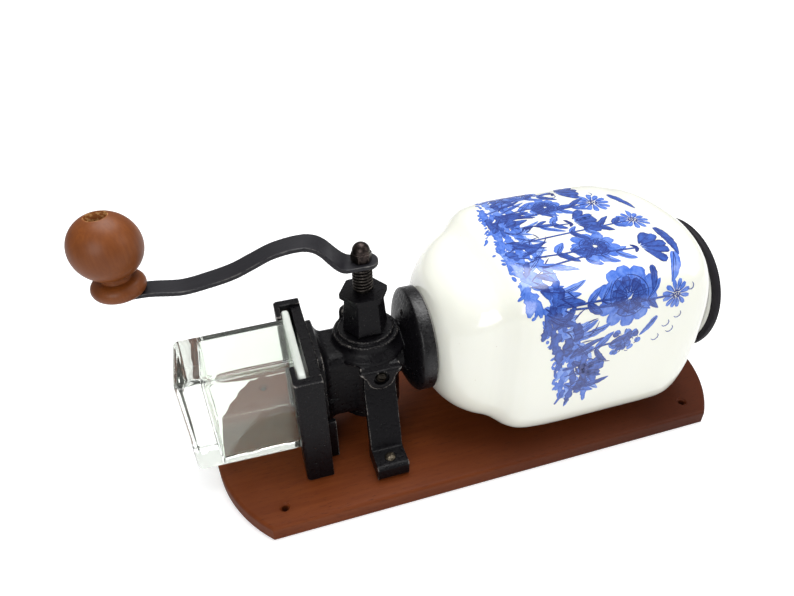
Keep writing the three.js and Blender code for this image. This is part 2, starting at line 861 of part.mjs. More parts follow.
// Glass cup, lying with its mouth against the plate
function cup() {
  const back = -lipFace + seatGap;
  const mouth = back + cupFlangeThickness;
  const end = mouth - cupLength;
  const flangeRings = [back, mouth].map((x) =>
    boxRing(x, cupFlangeHalfWidth, boardFront + seatGap, cupFlangeHigh, cupFlangeRounding),
  );
  const wallRing = (x, inset, round) => {
    const taper = (cupTaper * (mouth - x)) / cupLength + inset;
    return boxRing(x, cupHalfWidth - taper, cupLow + taper, cupHigh - taper / 2, round - inset / 2);
  };
  const outer = [wallRing(back + seatGap, 0, cupRounding), wallRing(end + cupHeel, 0, cupRounding)];
  for (const share of [0.5, 0.85, 1]) {
    const inset = cupHeel * (1 - Math.sqrt(1 - share ** 2)) * (2 / 3);
    outer.push(wallRing(end + cupHeel * (1 - share), inset, cupRounding));
  }
  const floor = end + cupBase;
  const inner = [
    wallRing(mouth + overrun, cupWall, cupRounding),
    wallRing(floor + cupHeel, cupWall, cupRounding),
    wallRing(floor + cupHeel / 4, cupWall + cupHeel / 4, cupRounding),
    wallRing(floor, cupWall + cupHeel, cupRounding),
  ];
  return joined(loft(flangeRings), loft(outer)).subtract(solid(loft(inner)));
}
piece("glass_cup", cup(), glass, grinder);

// Bearing cover under the hub, with the boss that holds the spindle's lower end
function cover() {
  const low = coverTop - coverThickness;
  const boss = coverTop + coverBossHeight;
  const bore = spindleRadius + spindleGap;
  const profile = [[bore, low], [hubRadius, low], [hubRadius, coverTop], [coverBossRadius, coverTop]];
  profile.push([coverBossRadius, boss], [bore, boss], [bore, low]);
  let made = solid(turned(profile, medium));
  for (const side of [-1, 1]) {
    const hole = bar(coverScrewRadius + seatGap, low - overrun, coverTop + overrun);
    made = made.subtract(solid(hole.translate(0, side * coverScrewCircle, 0)));
  }
  return made;
}
piece("bearing_cover", cover(), castIron, onSpindle);

for (const [place, side] of Object.entries(sides)) {
  const reach = coverThickness + coverScrewLength - 2 * seatGap;
  const screw = roundScrew(coverScrewRadius, reach, coverScrewHeadRadius, coverScrewHeadHeight);
  const height = coverTop - coverThickness - seatGap;
  const bolt = piece(`cover_screw_${place}`, screw, steel, onSpindle, 0, side * coverScrewCircle, height);
  bolt.rotation.x = Math.PI;
}

// A ring of teeth: a star that turns a little from one height to the next
function toothRing(height, radius, depth, teeth, turn) {
  return Array.from({ length: 2 * teeth }, (_, i) => {
    const angle = (Math.PI * i) / teeth + turn;
    const reach = i % 2 ? radius - depth : radius;
    return [reach * Math.cos(angle), reach * Math.sin(angle), height];
  });
}

function coneRadius(height) {
  const share = (height - coneLow) / coneHeight;
  return coneFootRadius + (coneTipRadius - coneFootRadius) * share;
}

function innerBurr() {
  const steps = 6;
  const rings = Array.from({ length: steps + 1 }, (_, i) => {
    const height = coneLow + (coneHeight * i) / steps;
    return toothRing(height, coneRadius(height), toothDepth, coneTeeth, (coneTwist * i) / steps);
  });
  const bore = bar(spindleRadius + seatGap, coneLow - overrun, coneLow + coneHeight + overrun);
  return solid(loft(rings)).subtract(solid(bore));
}
piece("inner_burr", innerBurr(), darkSteel, onSpindle);

function outerBurr() {
  const radius = burrSeatRadius - seatGap;
  const high = outerBurrLow + outerBurrHeight;
  const steps = 4;
  const rings = Array.from({ length: steps + 3 }, (_, i) => {
    const height = outerBurrLow + (outerBurrHeight * (i - 1)) / steps;
    const wide = coneRadius(height) + burrGap + toothDepth;
    return toothRing(height, wide, toothDepth, ringTeeth, (-coneTwist * i) / steps / 2);
  });
  return solid(bar(radius, outerBurrLow, high, medium)).subtract(solid(loft(rings)));
}
piece("outer_burr", outerBurr(), darkSteel, onSpindle);

// Spindle: shaft, thrust shoulder, square for the crank and threaded tip for the nut
const shoulderTop = sleeveLow - 2 * seatGap - washerThickness;
function spindle() {
  const low = coverTop - coverThickness + seatGap;
  const shaft = turned([
    [0, low],
    [spindleRadius, low],
    [spindleRadius, shoulderTop - shoulderHeight],
    [shoulderRadius, shoulderTop - shoulderHeight],
    [shoulderRadius, shoulderTop],
    [spindleRadius, shoulderTop],
    [spindleRadius, crankLow - seatGap],
    [0, crankLow - seatGap],
  ], coarse);
  const square = new THREE.BoxGeometry(squareSide, squareSide, crankThickness + 2 * seatGap);
  square.translate(0, 0, crankLow + crankThickness / 2 - seatGap / 2);
  const tip = bar(spindleTipRadius, crankTop - seatGap, crankTop + spindleTipLength);
  return joined(shaft, square, tip);
}
piece("spindle", spindle(), steel, onSpindle);

function washer() {
  const low = shoulderTop + seatGap;
  const bore = spindleRadius + spindleGap;
  const high = low + washerThickness;
  const ring = [[bore, low], [washerRadius, low], [washerRadius, high], [bore, high]];
  return solid(turned([...ring, ring[0]], coarse));
}
piece("thrust_washer", washer(), steel, onSpindle);

function adjuster() {
  const column = loft([hexRing(columnFootAcross, columnLow), hexRing(columnTopAcross, headLow + seatGap)]);
  const head = loft([hexRing(headAcross, headLow), hexRing(headAcross, headTop)]);
  const sleeve = bar(threadRadius, sleeveLow, columnLow + seatGap, medium);
  const bore = bar(spindleRadius + spindleGap, sleeveLow - overrun, headTop + overrun);
  return joined(sleeve, column, head).subtract(solid(bore));
}
piece("adjuster_sleeve", adjuster(), castIron, onSpindle);

// Spring: one wire in curls, its ends run straight for one wire diameter
function springCentres() {
  const steps = springTurns * springStepsPerTurn;
  const low = headTop + seatGap + springWire / 2;
  const rise = springLength - springWire;
  const centres = Array.from({ length: steps + 1 }, (_, i) => {
    const angle = (2 * Math.PI * i) / springStepsPerTurn;
    const at = new THREE.Vector3(springRadius * Math.cos(angle), springRadius * Math.sin(angle), 0);
    return at.setZ(low + (rise * i) / steps);
  });
  const run = (end, from, angle) => {
    const along = new THREE.Vector3(-Math.sin(angle), Math.cos(angle), 0);
    return centres.at(end).clone().addScaledVector(along, from * springWire);
  };
  const lastAngle = 2 * Math.PI * springTurns;
  return [run(0, -1, 0), ...centres, run(-1, 1, lastAngle)];
}

function spring() {
  const centres = springCentres();
  const up = new THREE.Vector3(0, 0, 1);
  const rings = centres.map((centre, i) => {
    const before = centres[Math.max(i - 1, 0)];
    const after = centres[Math.min(i + 1, centres.length - 1)];
    const along = after.clone().sub(before).normalize();
    const across = new THREE.Vector3().crossVectors(along, up).normalize();
    const over = new THREE.Vector3().crossVectors(across, along);
    return Array.from({ length: springSides }, (_, k) => {
      const angle = (2 * Math.PI * k) / springSides;
      const point = centre.clone().addScaledVector(across, (springWire / 2) * Math.cos(angle));
      return point.addScaledVector(over, (springWire / 2) * Math.sin(angle)).toArray();
    });
  });
  return solid(loft(rings));
}

// The least gap between curls: between points at least half a curl apart along the wire
function springGap() {
  const centres = springCentres();
  let least = Infinity;
  for (let i = 0; i < centres.length; i++)
    for (let k = i + springStepsPerTurn / 2; k < centres.length; k++)
      least = Math.min(least, centres[i].distanceTo(centres[k]) - springWire);
  return least;
}
console.log(`pressure_spring: least gap between curls ${springGap().toFixed(2)} mm`);
piece("pressure_spring", spring(), darkSteel, onSpindle);

// Crank: a flat strap bent in an S, its bends askew near the eye, narrower toward the knob
function crankLine() {
  const points = crankShares.map(([place, share]) => [crankLength * place, crankHump * share]);
  points.push([crankLength * crankDipShare, crankDip]);
  points.push([crankLength * crankRiseShare, crankEndRise]);
  points.push([crankLength + crankEndWidth / 2, crankEndRise]);
  return new THREE.CatmullRomCurve3(points.map(([x, y]) => new THREE.Vector3(x, y, 0)));
}

function crank() {
  const line = crankLine();
  const steps = 34;
  const upper = [];
  const lower = [];
  for (let i = 0; i <= steps; i++) {
    const at = line.getPoint(i / steps);
    const slope = line.getTangent(i / steps);
    upper.push([-at.x, crankTop + at.y]);
    lower.push([-at.x - slope.y * crankThickness, crankTop + at.y - slope.x * crankThickness]);
  }
  const side = outline([...upper, ...lower.reverse()]);
  const strap = extruded(side, -crankEyeRadius, crankEyeRadius).rotateX(Math.PI / 2);
  const points = strap.getAttribute("position");
  for (let i = 0; i < points.count; i++) {
    const share = Math.min(Math.max(1 + (2 * points.getX(i)) / crankLength, 0), 1);
    points.setX(i, points.getX(i) + crankSkew * points.getY(i) * share);
  }
  const plan = new THREE.Shape();
  const eyeHalf = crankEyeWidth / 2;
  const endHalf = crankEndWidth / 2;
  const lean = Math.asin(eyeHalf / crankEyeRadius);
  plan.absarc(0, 0, crankEyeRadius, -Math.PI + lean, Math.PI - lean, false);
  plan.lineTo(-crankLength, endHalf);
  plan.absarc(-crankLength, 0, endHalf, Math.PI / 2, 1.5 * Math.PI, false);
  const blank = extruded(plan, crankLow - overrun, crankTop + crankHump + overrun);
  const square = squareSide + 2 * seatGap;
  const eye = new THREE.BoxGeometry(square, square, 2 * crankHump).translate(0, 0, crankTop);
  const hole = bar(pinRadius + seatGap, crankLow, knobBase + crankHump).translate(-crankLength, 0, 0);
  return solid(strap).intersect(solid(blank)).subtract(solid(eye)).subtract(solid(hole));
}
piece("crank_arm", crank(), blackStrap, onSpindle);

// Acorn nut on the spindle's tip
function acornNut() {
  const low = crankTop + seatGap;
  const hexTop = low + nutHexHeight;
  const corner = nutAcross / Math.sqrt(3);
  const hex = solid(loft([hexRing(nutAcross, low), hexRing(nutAcross, hexTop)]));
  const trim = turned([
    [0, low],
    [corner, low],
    [corner + seatGap, hexTop - 2 * nutChamfer],
    [corner - nutChamfer, hexTop],
    [0, hexTop],
  ], medium);
  const dome = [[0, low + seatGap], [nutDomeRadius, low + seatGap]];
  dome.push([nutDomeRadius, hexTop + nutDomeCylinder]);
  for (let i = 1; i < 6; i++) {
    const angle = (Math.PI / 2) * (i / 6);
    dome.push([nutDomeRadius * Math.cos(angle), hexTop + nutDomeCylinder + nutDomeRadius * Math.sin(angle)]);
  }
  dome.push([0, hexTop + nutDomeCylinder + nutDomeRadius]);
  const bore = bar(spindleTipRadius + threadGap, low - overrun, crankTop + spindleTipLength + seatGap);
  return hex.intersect(solid(trim)).add(solid(turned(dome, coarse))).subtract(solid(bore));
}
piece("acorn_nut", acornNut(), darkSteel, onSpindle);

// Knob: a ball on a round bead, turned in one piece, bored for its pin
function knob() {
  const beadSteps = 6;
  const ballSteps = 10;
  const profile = [[0, 0]];
  const foot = -Math.asin(knobBeadHeight / knobBeadRound);
  for (let i = 0; i <= beadSteps; i++) {
    const angle = foot + ((Math.PI / 2 - foot) * i) / beadSteps;
    const radius = knobBeadRadius - knobBeadRound + knobBeadRound * Math.cos(angle);
    profile.push([radius, i ? knobBeadHeight + knobBeadRound * Math.sin(angle) : 0]);
  }
  profile.push([knobNeckRadius, profile.at(-1)[1]]);
  const start = -Math.acos(knobNeckRadius / knobBallRadius);
  const end = Math.acos(knobRecessRadius / knobBallRadius);
  for (let i = 0; i <= ballSteps; i++) {
    const angle = start + ((end - start) * i) / ballSteps;
    profile.push([knobBallRadius * Math.cos(angle), knobBallHeight + knobBallRadius * Math.sin(angle)]);
  }
  const rim = profile.at(-1)[1];
  profile.push([knobRecessRadius, rim - knobRecessDepth], [0, rim - knobRecessDepth]);
  const bore = bar(pinRadius + seatGap, -overrun, rim);
  return solid(turned(profile, medium)).subtract(solid(bore));
}
const knobPlace = [-crankLength, 0, knobBase];
piece("knob", knob(), knobWood, onSpindle, ...knobPlace);

// Pin of the knob: riveted to the crank, its head sunk in the knob's top
function knobPin() {
  const rim = knobBallHeight + Math.sqrt(knobBallRadius ** 2 - knobRecessRadius ** 2);
  const seat = rim - knobRecessDepth + seatGap;
  const under = -2 * seatGap - crankThickness;
  return solid(turned([
    [0, under - rivetHeight],
    [rivetRadius * (3 / 4), under - rivetHeight],
    [rivetRadius, under],
    [pinRadius, under],
    [pinRadius, seat],
    [pinHeadRadius, seat],
    [pinHeadRadius, seat + pinHeadHeight / 2],
    [pinHeadRadius * (3 / 4), seat + pinHeadHeight],
    [0, seat + pinHeadHeight],
  ], coarse));
}
piece("knob_pin", knobPin(), steel, onSpindle, ...knobPlace);

// Jar and its fittings, about the jar's axis: local Z runs toward the lid
function gasket() {
  const high = seatGap + gasketThickness;
  const ring = [[gasketInner, seatGap], [gasketOuter, seatGap], [gasketOuter, high], [gasketInner, high]];
  return solid(turned([...ring, ring[0]], medium));
}
piece("hopper_gasket", gasket(), rubber, onJarAxis);

// A ring between a circle and a rounded square, wider than deep, thrown a little off the axis
function jarRing(height, size, squareness, inset, count, share = squareness) {
  const power = 1 / (1 + jarSquareShare * squareness);
  const wide = 1 + (jarHalfWidth / jarHalfDepth - 1) * squareness;
  const bend = (value) => Math.sign(value) * Math.abs(value) ** power;
  const lean = jarLean * share;
  const sway = jarSway * share;
  return Array.from({ length: count }, (_, i) => {
    const angle = (2 * Math.PI * (i + 0.5)) / count;
    const x = (size - inset) * bend(Math.cos(angle)) - lean;
    return [x, (size * wide - inset) * bend(Math.sin(angle)) + sway, height];
  });
}

function jar() {
  const count = 40;
  const size = (share) => jarHalfDepth * share;
  const outer = jarShares.map(([place, half, square, share]) =>
    jarRing(jarLow + jarLength * place, size(half), square, 0, count, share),
  );
  const floor = jarLow + jarFloor;
  const neckLow = jarTop - spigotLength - seatGap;
  const inside = jarShares.filter(([place], i) => {
    const height = jarLow + jarLength * place;
    return i % 3 === 0 && height > floor + jarWall && height < neckLow - jarWall;
  });
  const rings = inside.map(([place, half, square, share]) =>
    jarRing(jarLow + jarLength * place, size(half), square, jarWall, fine, share),
  );
  const [, firstHalf, firstSquare] = jarShares[3];
  const floorRing = jarRing(floor, size(firstHalf), firstSquare, 2 * jarWall + jarFloor, fine);
  const mouthPlaces = [neckLow, jarTop + overrun];
  const mouthRings = mouthPlaces.map((height) => jarRing(height, jarMouthRadius, 0, 0, fine));
  let made = solid(loft(outer)).subtract(solid(loft([floorRing, ...rings, ...mouthRings])));
  made = made.subtract(solid(bar(jarFloorHole, jarLow - overrun, floor + overrun, medium)));
  for (const [y, z] of clampPlaces()) {
    const hole = bar(clampScrewRadius + seatGap, jarLow - overrun, floor + overrun);
    made = made.subtract(solid(hole.translate(-z, y, 0)));
  }
  return made;
}
piece("ceramic_hopper", jar(), ceramic, onJarAxis);

const clampLow = jarLow + jarFloor + seatGap;
function clampRing() {
  const high = clampLow + clampThickness;
  const ring = [[clampInner, clampLow], [clampOuter, clampLow], [clampOuter, high], [clampInner, high]];
  let made = solid(turned([...ring, ring[0]], medium));
  for (const [y, z] of clampPlaces()) {
    const hole = bar(clampScrewRadius + seatGap, clampLow - overrun, high + overrun);
    made = made.subtract(solid(hole.translate(-z, y, 0)));
  }
  return made;
}
piece("clamp_ring", clampRing(), steel, onJarAxis);

clampPlaces().forEach(([y, z], i) => {
  const seat = clampLow + clampThickness + seatGap;
  const reach = clampScrewLength + seat - jarLow - jarFloor;
  const screw = roundScrew(clampScrewRadius, reach, clampScrewHeadRadius, clampScrewHeadHeight);
  piece(`clamp_screw_${i + 1}`, screw, steel, onJarAxis, -z, y, seat);
});

// Lid: a low crowned disc with a ring-shaped spigot, and the seal round the spigot
const lidLow = jarTop + seatGap;
function lid() {
  const high = lidLow + lidThickness;
  return solid(turned([
    [0, lidLow],
    [spigotRadius - spigotWall, lidLow],
    [spigotRadius - spigotWall, lidLow - spigotLength],
    [spigotRadius, lidLow - spigotLength],
    [spigotRadius, lidLow],
    [lidRadius - lidEdge, lidLow],
    [lidRadius, lidLow + lidEdge],
    [lidRadius, high - lidEdge],
    [lidRadius - lidEdge, high],
    [lidRadius * (3 / 4), high],
    [lidRadius / 2, high + lidCrown * (3 / 4)],
    [0, high + lidCrown],
  ], fine));
}
piece("hopper_lid", lid(), lidPlastic, onJarAxis);

function seal() {
  const inner = spigotRadius + seatGap;
  const outer = inner + sealThickness;
  const high = lidLow - seatGap;
  const low = high - sealLength;
  return solid(turned([[inner, low], [outer, low], [outer, high], [inner, high], [inner, low]], fine));
}
piece("lid_seal", seal(), rubber, onJarAxis);

export default grinder;
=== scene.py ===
# Wall-mounted coffee grinder, lying on its back: a cast iron mill on a wooden board, with a
# ceramic bean jar, a strap crank with a turned knob, and a glass cup in a rail holder.
# Metres. +Z comes out of the board, +X runs toward the jar's lid, and the camera is on the -Y side.

import math

import bmesh
import bpy
import numpy as np
from mathutils import Matrix, Vector


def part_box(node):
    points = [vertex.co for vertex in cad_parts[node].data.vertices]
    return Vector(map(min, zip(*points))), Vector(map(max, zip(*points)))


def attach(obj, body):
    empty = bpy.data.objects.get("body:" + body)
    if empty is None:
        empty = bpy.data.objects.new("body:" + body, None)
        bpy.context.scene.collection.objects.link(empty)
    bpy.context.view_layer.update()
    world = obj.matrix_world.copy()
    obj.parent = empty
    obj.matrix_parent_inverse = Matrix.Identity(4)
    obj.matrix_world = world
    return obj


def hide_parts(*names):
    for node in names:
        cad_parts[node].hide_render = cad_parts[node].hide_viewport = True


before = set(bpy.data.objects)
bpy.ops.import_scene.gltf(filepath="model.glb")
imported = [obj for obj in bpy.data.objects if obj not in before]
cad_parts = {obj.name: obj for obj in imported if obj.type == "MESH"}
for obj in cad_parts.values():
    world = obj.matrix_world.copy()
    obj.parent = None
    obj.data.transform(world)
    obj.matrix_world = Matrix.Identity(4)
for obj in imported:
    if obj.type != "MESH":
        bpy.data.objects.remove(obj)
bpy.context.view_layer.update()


# Stage: a pale floor under the board and a white surround, which the camera, gloss and glass see.
# The surround gives the camera plain white, and the lamps are large and soft, so colours stay true.

def linear(code):
    """An sRGB hex colour as linear red, green, blue and alpha."""
    share = np.array([int(code[i:i + 2], 16) for i in (1, 3, 5)]) / 255
    straight = np.where(share <= 0.04045, share / 12.92, ((share + 0.055) / 1.055) ** 2.4)
    return (*straight.tolist(), 1.0)


def feed(tree, node, values):
    """Gives a node its inputs, each a value, a hex colour or another node's output."""
    for name, value in values.items():
        if isinstance(value, bpy.types.NodeSocket):
            tree.links.new(value, node.inputs[name])
        else:
            node.inputs[name].default_value = linear(value) if isinstance(value, str) else value


def add(tree, kind, values=None, out=None, **settings):
    """Adds a shader node with its settings and inputs, and gives its output of that name, or else the
    first output in use."""
    node = tree.nodes.new("ShaderNode" + kind)
    for name, value in settings.items():
        setattr(node, name, value)
    feed(tree, node, values or {})
    return node.outputs[out] if out else next((socket for socket in node.outputs if socket.enabled), None)


def eye_or_glass(tree):
    """One for rays from the camera or through glass, nought for all others."""
    rays = [add(tree, "LightPath", out=name) for name in ("Is Camera Ray", "Is Transmission Ray")]
    return add(tree, "Math", dict(enumerate(rays)), operation="MAXIMUM")


FLOOR_HALF = 3.0
FLOOR_LIFT = 0.42
FLOOR_FADE = (0.5, 1.3)
SURROUND_LIGHT = 0.26

world = bpy.data.worlds.new("white surround")
bpy.context.scene.world = world
world.use_nodes = True
sky = world.node_tree
sky.nodes.clear()
strength = add(sky, "MapRange", {"Value": eye_or_glass(sky), "To Min": SURROUND_LIGHT})
add(sky, "OutputWorld", {"Surface": add(sky, "Background", {"Color": "#ffffff", "Strength": strength})})

floor_mesh = bpy.data.meshes.new("floor")
floor_mesh.from_pydata(FLOOR_HALF * np.array([[-1, -1, 0], [1, -1, 0], [1, 1, 0], [-1, 1, 0]]), [],
                       [(0, 1, 2, 3)])
floor = bpy.data.objects.new("floor", floor_mesh)
bpy.context.collection.objects.link(floor)
# Matt paint, nearly white, with a glow for rays from the camera or through glass alone. The glow grows
# away from the board, so that the floor fades into the surround.
floor_paint = bpy.data.materials.new("pale matt floor")
floor_paint.use_nodes = True
ground = floor_paint.node_tree
ground.nodes.clear()
far = add(ground, "VectorMath", {0: add(ground, "TexCoord", out="Object")}, "Value", operation="LENGTH")
fade = add(ground, "MapRange", {"Value": far, "From Min": FLOOR_FADE[0], "From Max": FLOOR_FADE[1],
                                "To Min": FLOOR_LIFT})
lifted = add(ground, "Math", {0: eye_or_glass(ground), 1: fade}, operation="MULTIPLY")
matt = add(ground, "BsdfDiffuse", {"Color": "#e9e9ea"})
lift = add(ground, "Emission", {"Color": "#ffffff", "Strength": lifted})
add(ground, "OutputMaterial", {"Surface": add(ground, "AddShader", {0: matt, 1: lift})})
floor_mesh.materials.append(floor_paint)

# Lamps: [name, place, what it faces, width, watts]
LAMPS = [
    ("overhead softbox", (0.15, 0.3, 1.5), (0.0, 0.0, 0.05), 1.2, 25.0),
    ("front softbox", (-0.7, -1.3, 0.8), (0.0, 0.0, 0.07), 0.9, 11.0),
    ("side softbox", (1.3, -0.5, 0.8), (0.05, 0.0, 0.07), 0.8, 5.0),
]
for name, spot, target, width, watts in LAMPS:
    lamp = bpy.data.lights.new(name, "AREA")
    lamp.shape = "SQUARE"
    lamp.size = width
    lamp.energy = watts
    stand = bpy.data.objects.new(name, lamp)
    bpy.context.collection.objects.link(stand)
    stand.location = spot
    stand.rotation_euler = (Vector(target) - Vector(spot)).to_track_quat("-Z", "Y").to_euler()

# Camera: fitted to the board's outline and holes in the photograph
PHOTO_WIDTH_PX = 794
FOCAL_PX = 605.8
SENSOR_WIDTH = 36.0
EYE = (-0.1352, -0.2843, 0.3190)
AZIMUTH, ELEVATION, ROLL = np.radians([-16.60, 35.76, -1.13]).tolist()

back = Vector((math.sin(AZIMUTH) * math.cos(ELEVATION), -math.cos(AZIMUTH) * math.cos(ELEVATION),
               math.sin(ELEVATION)))
level = (-back).cross(Vector((0, 0, 1))).normalized()
upright = level.cross(-back)
right = level * math.cos(ROLL) + upright * math.sin(ROLL)
up = upright * math.cos(ROLL) - level * math.sin(ROLL)
lens = bpy.data.cameras.new("camera")
lens.sensor_width = SENSOR_WIDTH
lens.lens = FOCAL_PX / PHOTO_WIDTH_PX * SENSOR_WIDTH
camera = bpy.data.objects.new("camera", lens)
bpy.context.collection.objects.link(camera)
camera.matrix_world = Matrix.Translation(EYE) @ Matrix((right, up, back)).transposed().to_4x4()
bpy.context.scene.camera = camera
bpy.context.scene.view_settings.view_transform = "Standard"


# Back board: planed hardwood, its two ends sawn to arcs and its front edge rounded over, with four
# countersunk screw holes, stained reddish brown and varnished.

mm = 0.001
MERGE_DISTANCE = 0.0002 * mm


def shell(grid, ring=False):
    """Points and faces of a closed skin over a grid of points: rows run along the piece and columns
    round it. Both ends get a flat face, or the last row meets the first where ring is True."""
    rows, columns = grid.shape[:2]
    index = np.arange(rows * columns).reshape(rows, columns)
    if ring:
        index = np.vstack([index, index[:1]])
    after = np.roll(index, -1, axis=1)
    quads = np.stack([index[:-1], after[:-1], after[1:], index[1:]], axis=-1).reshape(-1, 4)
    points = grid.reshape(-1, 3)
    corner = points[quads] - points.mean(axis=0)
    first = np.cross(corner[:, 1], corner[:, 2])
    second = np.cross(corner[:, 2], corner[:, 3])
    volume = (corner[:, 0] * (first + second)).sum()
    faces = quads.tolist() + ([] if ring else [index[0, ::-1].tolist(), index[-1].tolist()])
    return points, faces if volume >= 0 else [face[::-1] for face in faces]


def piece(name, *grids, at=(0, 0, 0), ring=False, merged=True):
    """A mesh object with a closed skin over each grid, moved by at. Points that coincide are merged,
    unless merged is False."""
    points, faces, start = [], [], 0
    for grid in grids:
        places, skin = shell(grid + np.array(at), ring)
        points.append(places)
        faces += [[start + i for i in face] for face in skin]
        start += len(places)
    mesh = bpy.data.meshes.new(name)
    mesh.from_pydata(np.vstack(points), [], faces)
    if merged:
        work = bmesh.new()
        work.from_mesh(mesh)
        bmesh.ops.remove_doubles(work, verts=work.verts, dist=MERGE_DISTANCE)
        work.to_mesh(mesh)
        work.free()
    made = bpy.data.objects.new(name, mesh)
    bpy.context.collection.objects.link(made)
    return made


def worked(made):
    """The piece with its modifiers worked into its mesh."""
    bpy.context.view_layer.update()
    shaped = made.evaluated_get(bpy.context.evaluated_depsgraph_get())
    mesh = bpy.data.meshes.new_from_object(shaped)
    made.modifiers.clear()
    made.data = mesh
    return made


def carved(made, *grids, at=(0, 0, 0), how="DIFFERENCE"):
    """The piece with the space inside each grid's skin taken out of it, or added if how is UNION."""
    cutters = [piece("cutter", grid, at=at) for grid in grids]
    for cutter in cutters:
        cut = made.modifiers.new("cut", "BOOLEAN")
        cut.operation = how
        cut.solver = "MANIFOLD"
        cut.object = cutter
    worked(made)
    for cutter in cutters:
        bpy.data.objects.remove(cutter)
    return made


SHARP = math.radians(32)


def fitted(made, finish, body, slot, *nodes):
    """Gives the piece its finish and its body, and lets it stand for its CAD nodes."""
    made.data.materials.clear()
    made.data.materials.append(finish)
    made.data.shade_smooth()
    made.data.set_sharp_from_angle(angle=SHARP)
    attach(made, body)
    if nodes:
        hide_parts(*nodes)


def circle(count):
    """Angles that step evenly round a circle."""
    return np.linspace(0, 2 * np.pi, count, endpoint=False)


def points_of(x, y, z):
    """A grid of points from its three coordinates, each spread to the shape of the whole grid."""
    return np.stack(np.broadcast_arrays(x, y, z), axis=-1)


def spun(radius, height, sides):
    """Rings about Z: the radius times the cosine and the sine of each angle, at each height."""
    return points_of(radius * np.cos(circle(sides)), radius * np.sin(circle(sides)), height)


def turned(profile, sides=72):
    """A turned form about Z from [radius, height] rows, as a grid of points."""
    radius, height = np.array(profile, dtype=float).T[:, :, None]
    return spun(radius, height, sides)


def moved(grid, x=0.0, y=0.0, z=0.0):
    """The grid moved along X, Y and Z."""
    return grid + np.array([x, y, z])


def quarter(steps):
    """Rows of [1 - sine, 1 - cosine] from 0 to 90 degrees: a rounding's distance from its two faces."""
    angle = np.linspace(0, np.pi / 2, steps)
    return np.stack([1 - np.sin(angle), 1 - np.cos(angle)], axis=-1)


def material(name, colour, roughness, *noises, **sockets):
    """A material of one Principled shader, with a noise for each row of [size of a spot, detail,
    roughness, squeeze along X]. Gives it, its tree, its shader, its place on the object and its noises."""
    made = bpy.data.materials.new(name)
    made.use_nodes = True
    tree = made.node_tree
    shader = tree.nodes["Principled BSDF"]
    feed(tree, shader, {"Base Color": colour, "Roughness": roughness})
    feed(tree, shader, {socket.replace("_", " "): value for socket, value in sockets.items()})
    place = add(tree, "TexCoord", out="Object")
    sources = []
    for size, detail, rough, squeeze in noises:
        drawn_out = add(tree, "Mapping", {"Vector": place, "Scale": (squeeze, 1, 1)})
        sources.append(add(tree, "TexNoise", {"Vector": drawn_out, "Scale": 1 / size, "Detail": detail,
                                              "Roughness": rough}))
    return made, tree, shader, place, *sources


def coats(tree, colour, *layers):
    """Colours laid over one another, from rows of [source, start, end, most, colour]: a layer's share
    goes from none to most as its source goes from start to end."""
    for source, start, end, most, tint in layers:
        share = add(tree, "MapRange", {"Value": source, "From Min": start, "From Max": end, "To Max": most})
        colour = add(tree, "Mix", {"Factor": share, "A": colour, "B": tint}, data_type="RGBA")
    return colour


def surfaced(tree, shader, colour=None, gloss=None, relief=None):
    """Links a colour to the shader, a roughness from [source, start, end, least, most] and a bump from
    [height, strength, depth]. What isn't given keeps its plain value."""
    if colour:
        feed(tree, shader, {"Base Color": colour})
    if gloss:
        names = ("Value", "From Min", "From Max", "To Min", "To Max")
        feed(tree, shader, {"Roughness": add(tree, "MapRange", dict(zip(names, gloss)))})
    if relief:
        bump = dict(zip(("Height", "Strength", "Distance"), relief))
        feed(tree, shader, {"Normal": add(tree, "Bump", bump)})


board_low, board_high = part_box("back_board")
BOARD_LENGTH = board_high[0] - board_low[0]
BOARD_WIDTH = board_high[1] - board_low[1]
BOARD_TOP = board_high[2]
BOARD_RISE, BOARD_ROUNDING, BOARD_ARRIS = mm * np.array([27.5, 2.4, 0.5])
HOLE_SPAN, HOLE_SPREAD, HOLE_RADIUS, SINK_RADIUS = mm * np.array([277, 110, 2.2, 3.4])
CLEAR = 1 * mm


def board_ring(height, inset):
    """The board's outline, drawn in by inset: an arc at each end, of one radius about one centre."""
    half = BOARD_WIDTH / 2
    radius = (half ** 2 + BOARD_RISE ** 2) / (2 * BOARD_RISE)
    reach = math.asin((half - inset) / (radius - inset))
    angle = np.linspace(-reach, reach, 61)
    x = BOARD_LENGTH / 2 - radius + (radius - inset) * np.cos(angle)
    y = (radius - inset) * np.sin(angle)
    ends = np.concatenate([np.stack([x, y], axis=-1), np.stack([-x, -y], axis=-1)])
    return np.column_stack([ends, np.full(len(ends), height)])


board_rows = [board_ring(0, BOARD_ARRIS), board_ring(BOARD_ARRIS, 0)]
board_rows += [board_ring(BOARD_TOP - BOARD_ROUNDING * down, BOARD_ROUNDING * inward)
               for down, inward in quarter(9)]
board = piece("board", np.array(board_rows))
sink_top = BOARD_TOP + CLEAR
hole = turned([[0, -CLEAR], [HOLE_RADIUS, -CLEAR], [HOLE_RADIUS, BOARD_TOP - SINK_RADIUS + HOLE_RADIUS],
               [SINK_RADIUS, BOARD_TOP], [SINK_RADIUS, sink_top], [0, sink_top]], 32)
carved(board, *[moved(hole, end * HOLE_SPAN / 2, side * HOLE_SPREAD / 2)
                for end in (-1, 1) for side in (-1, 1)])

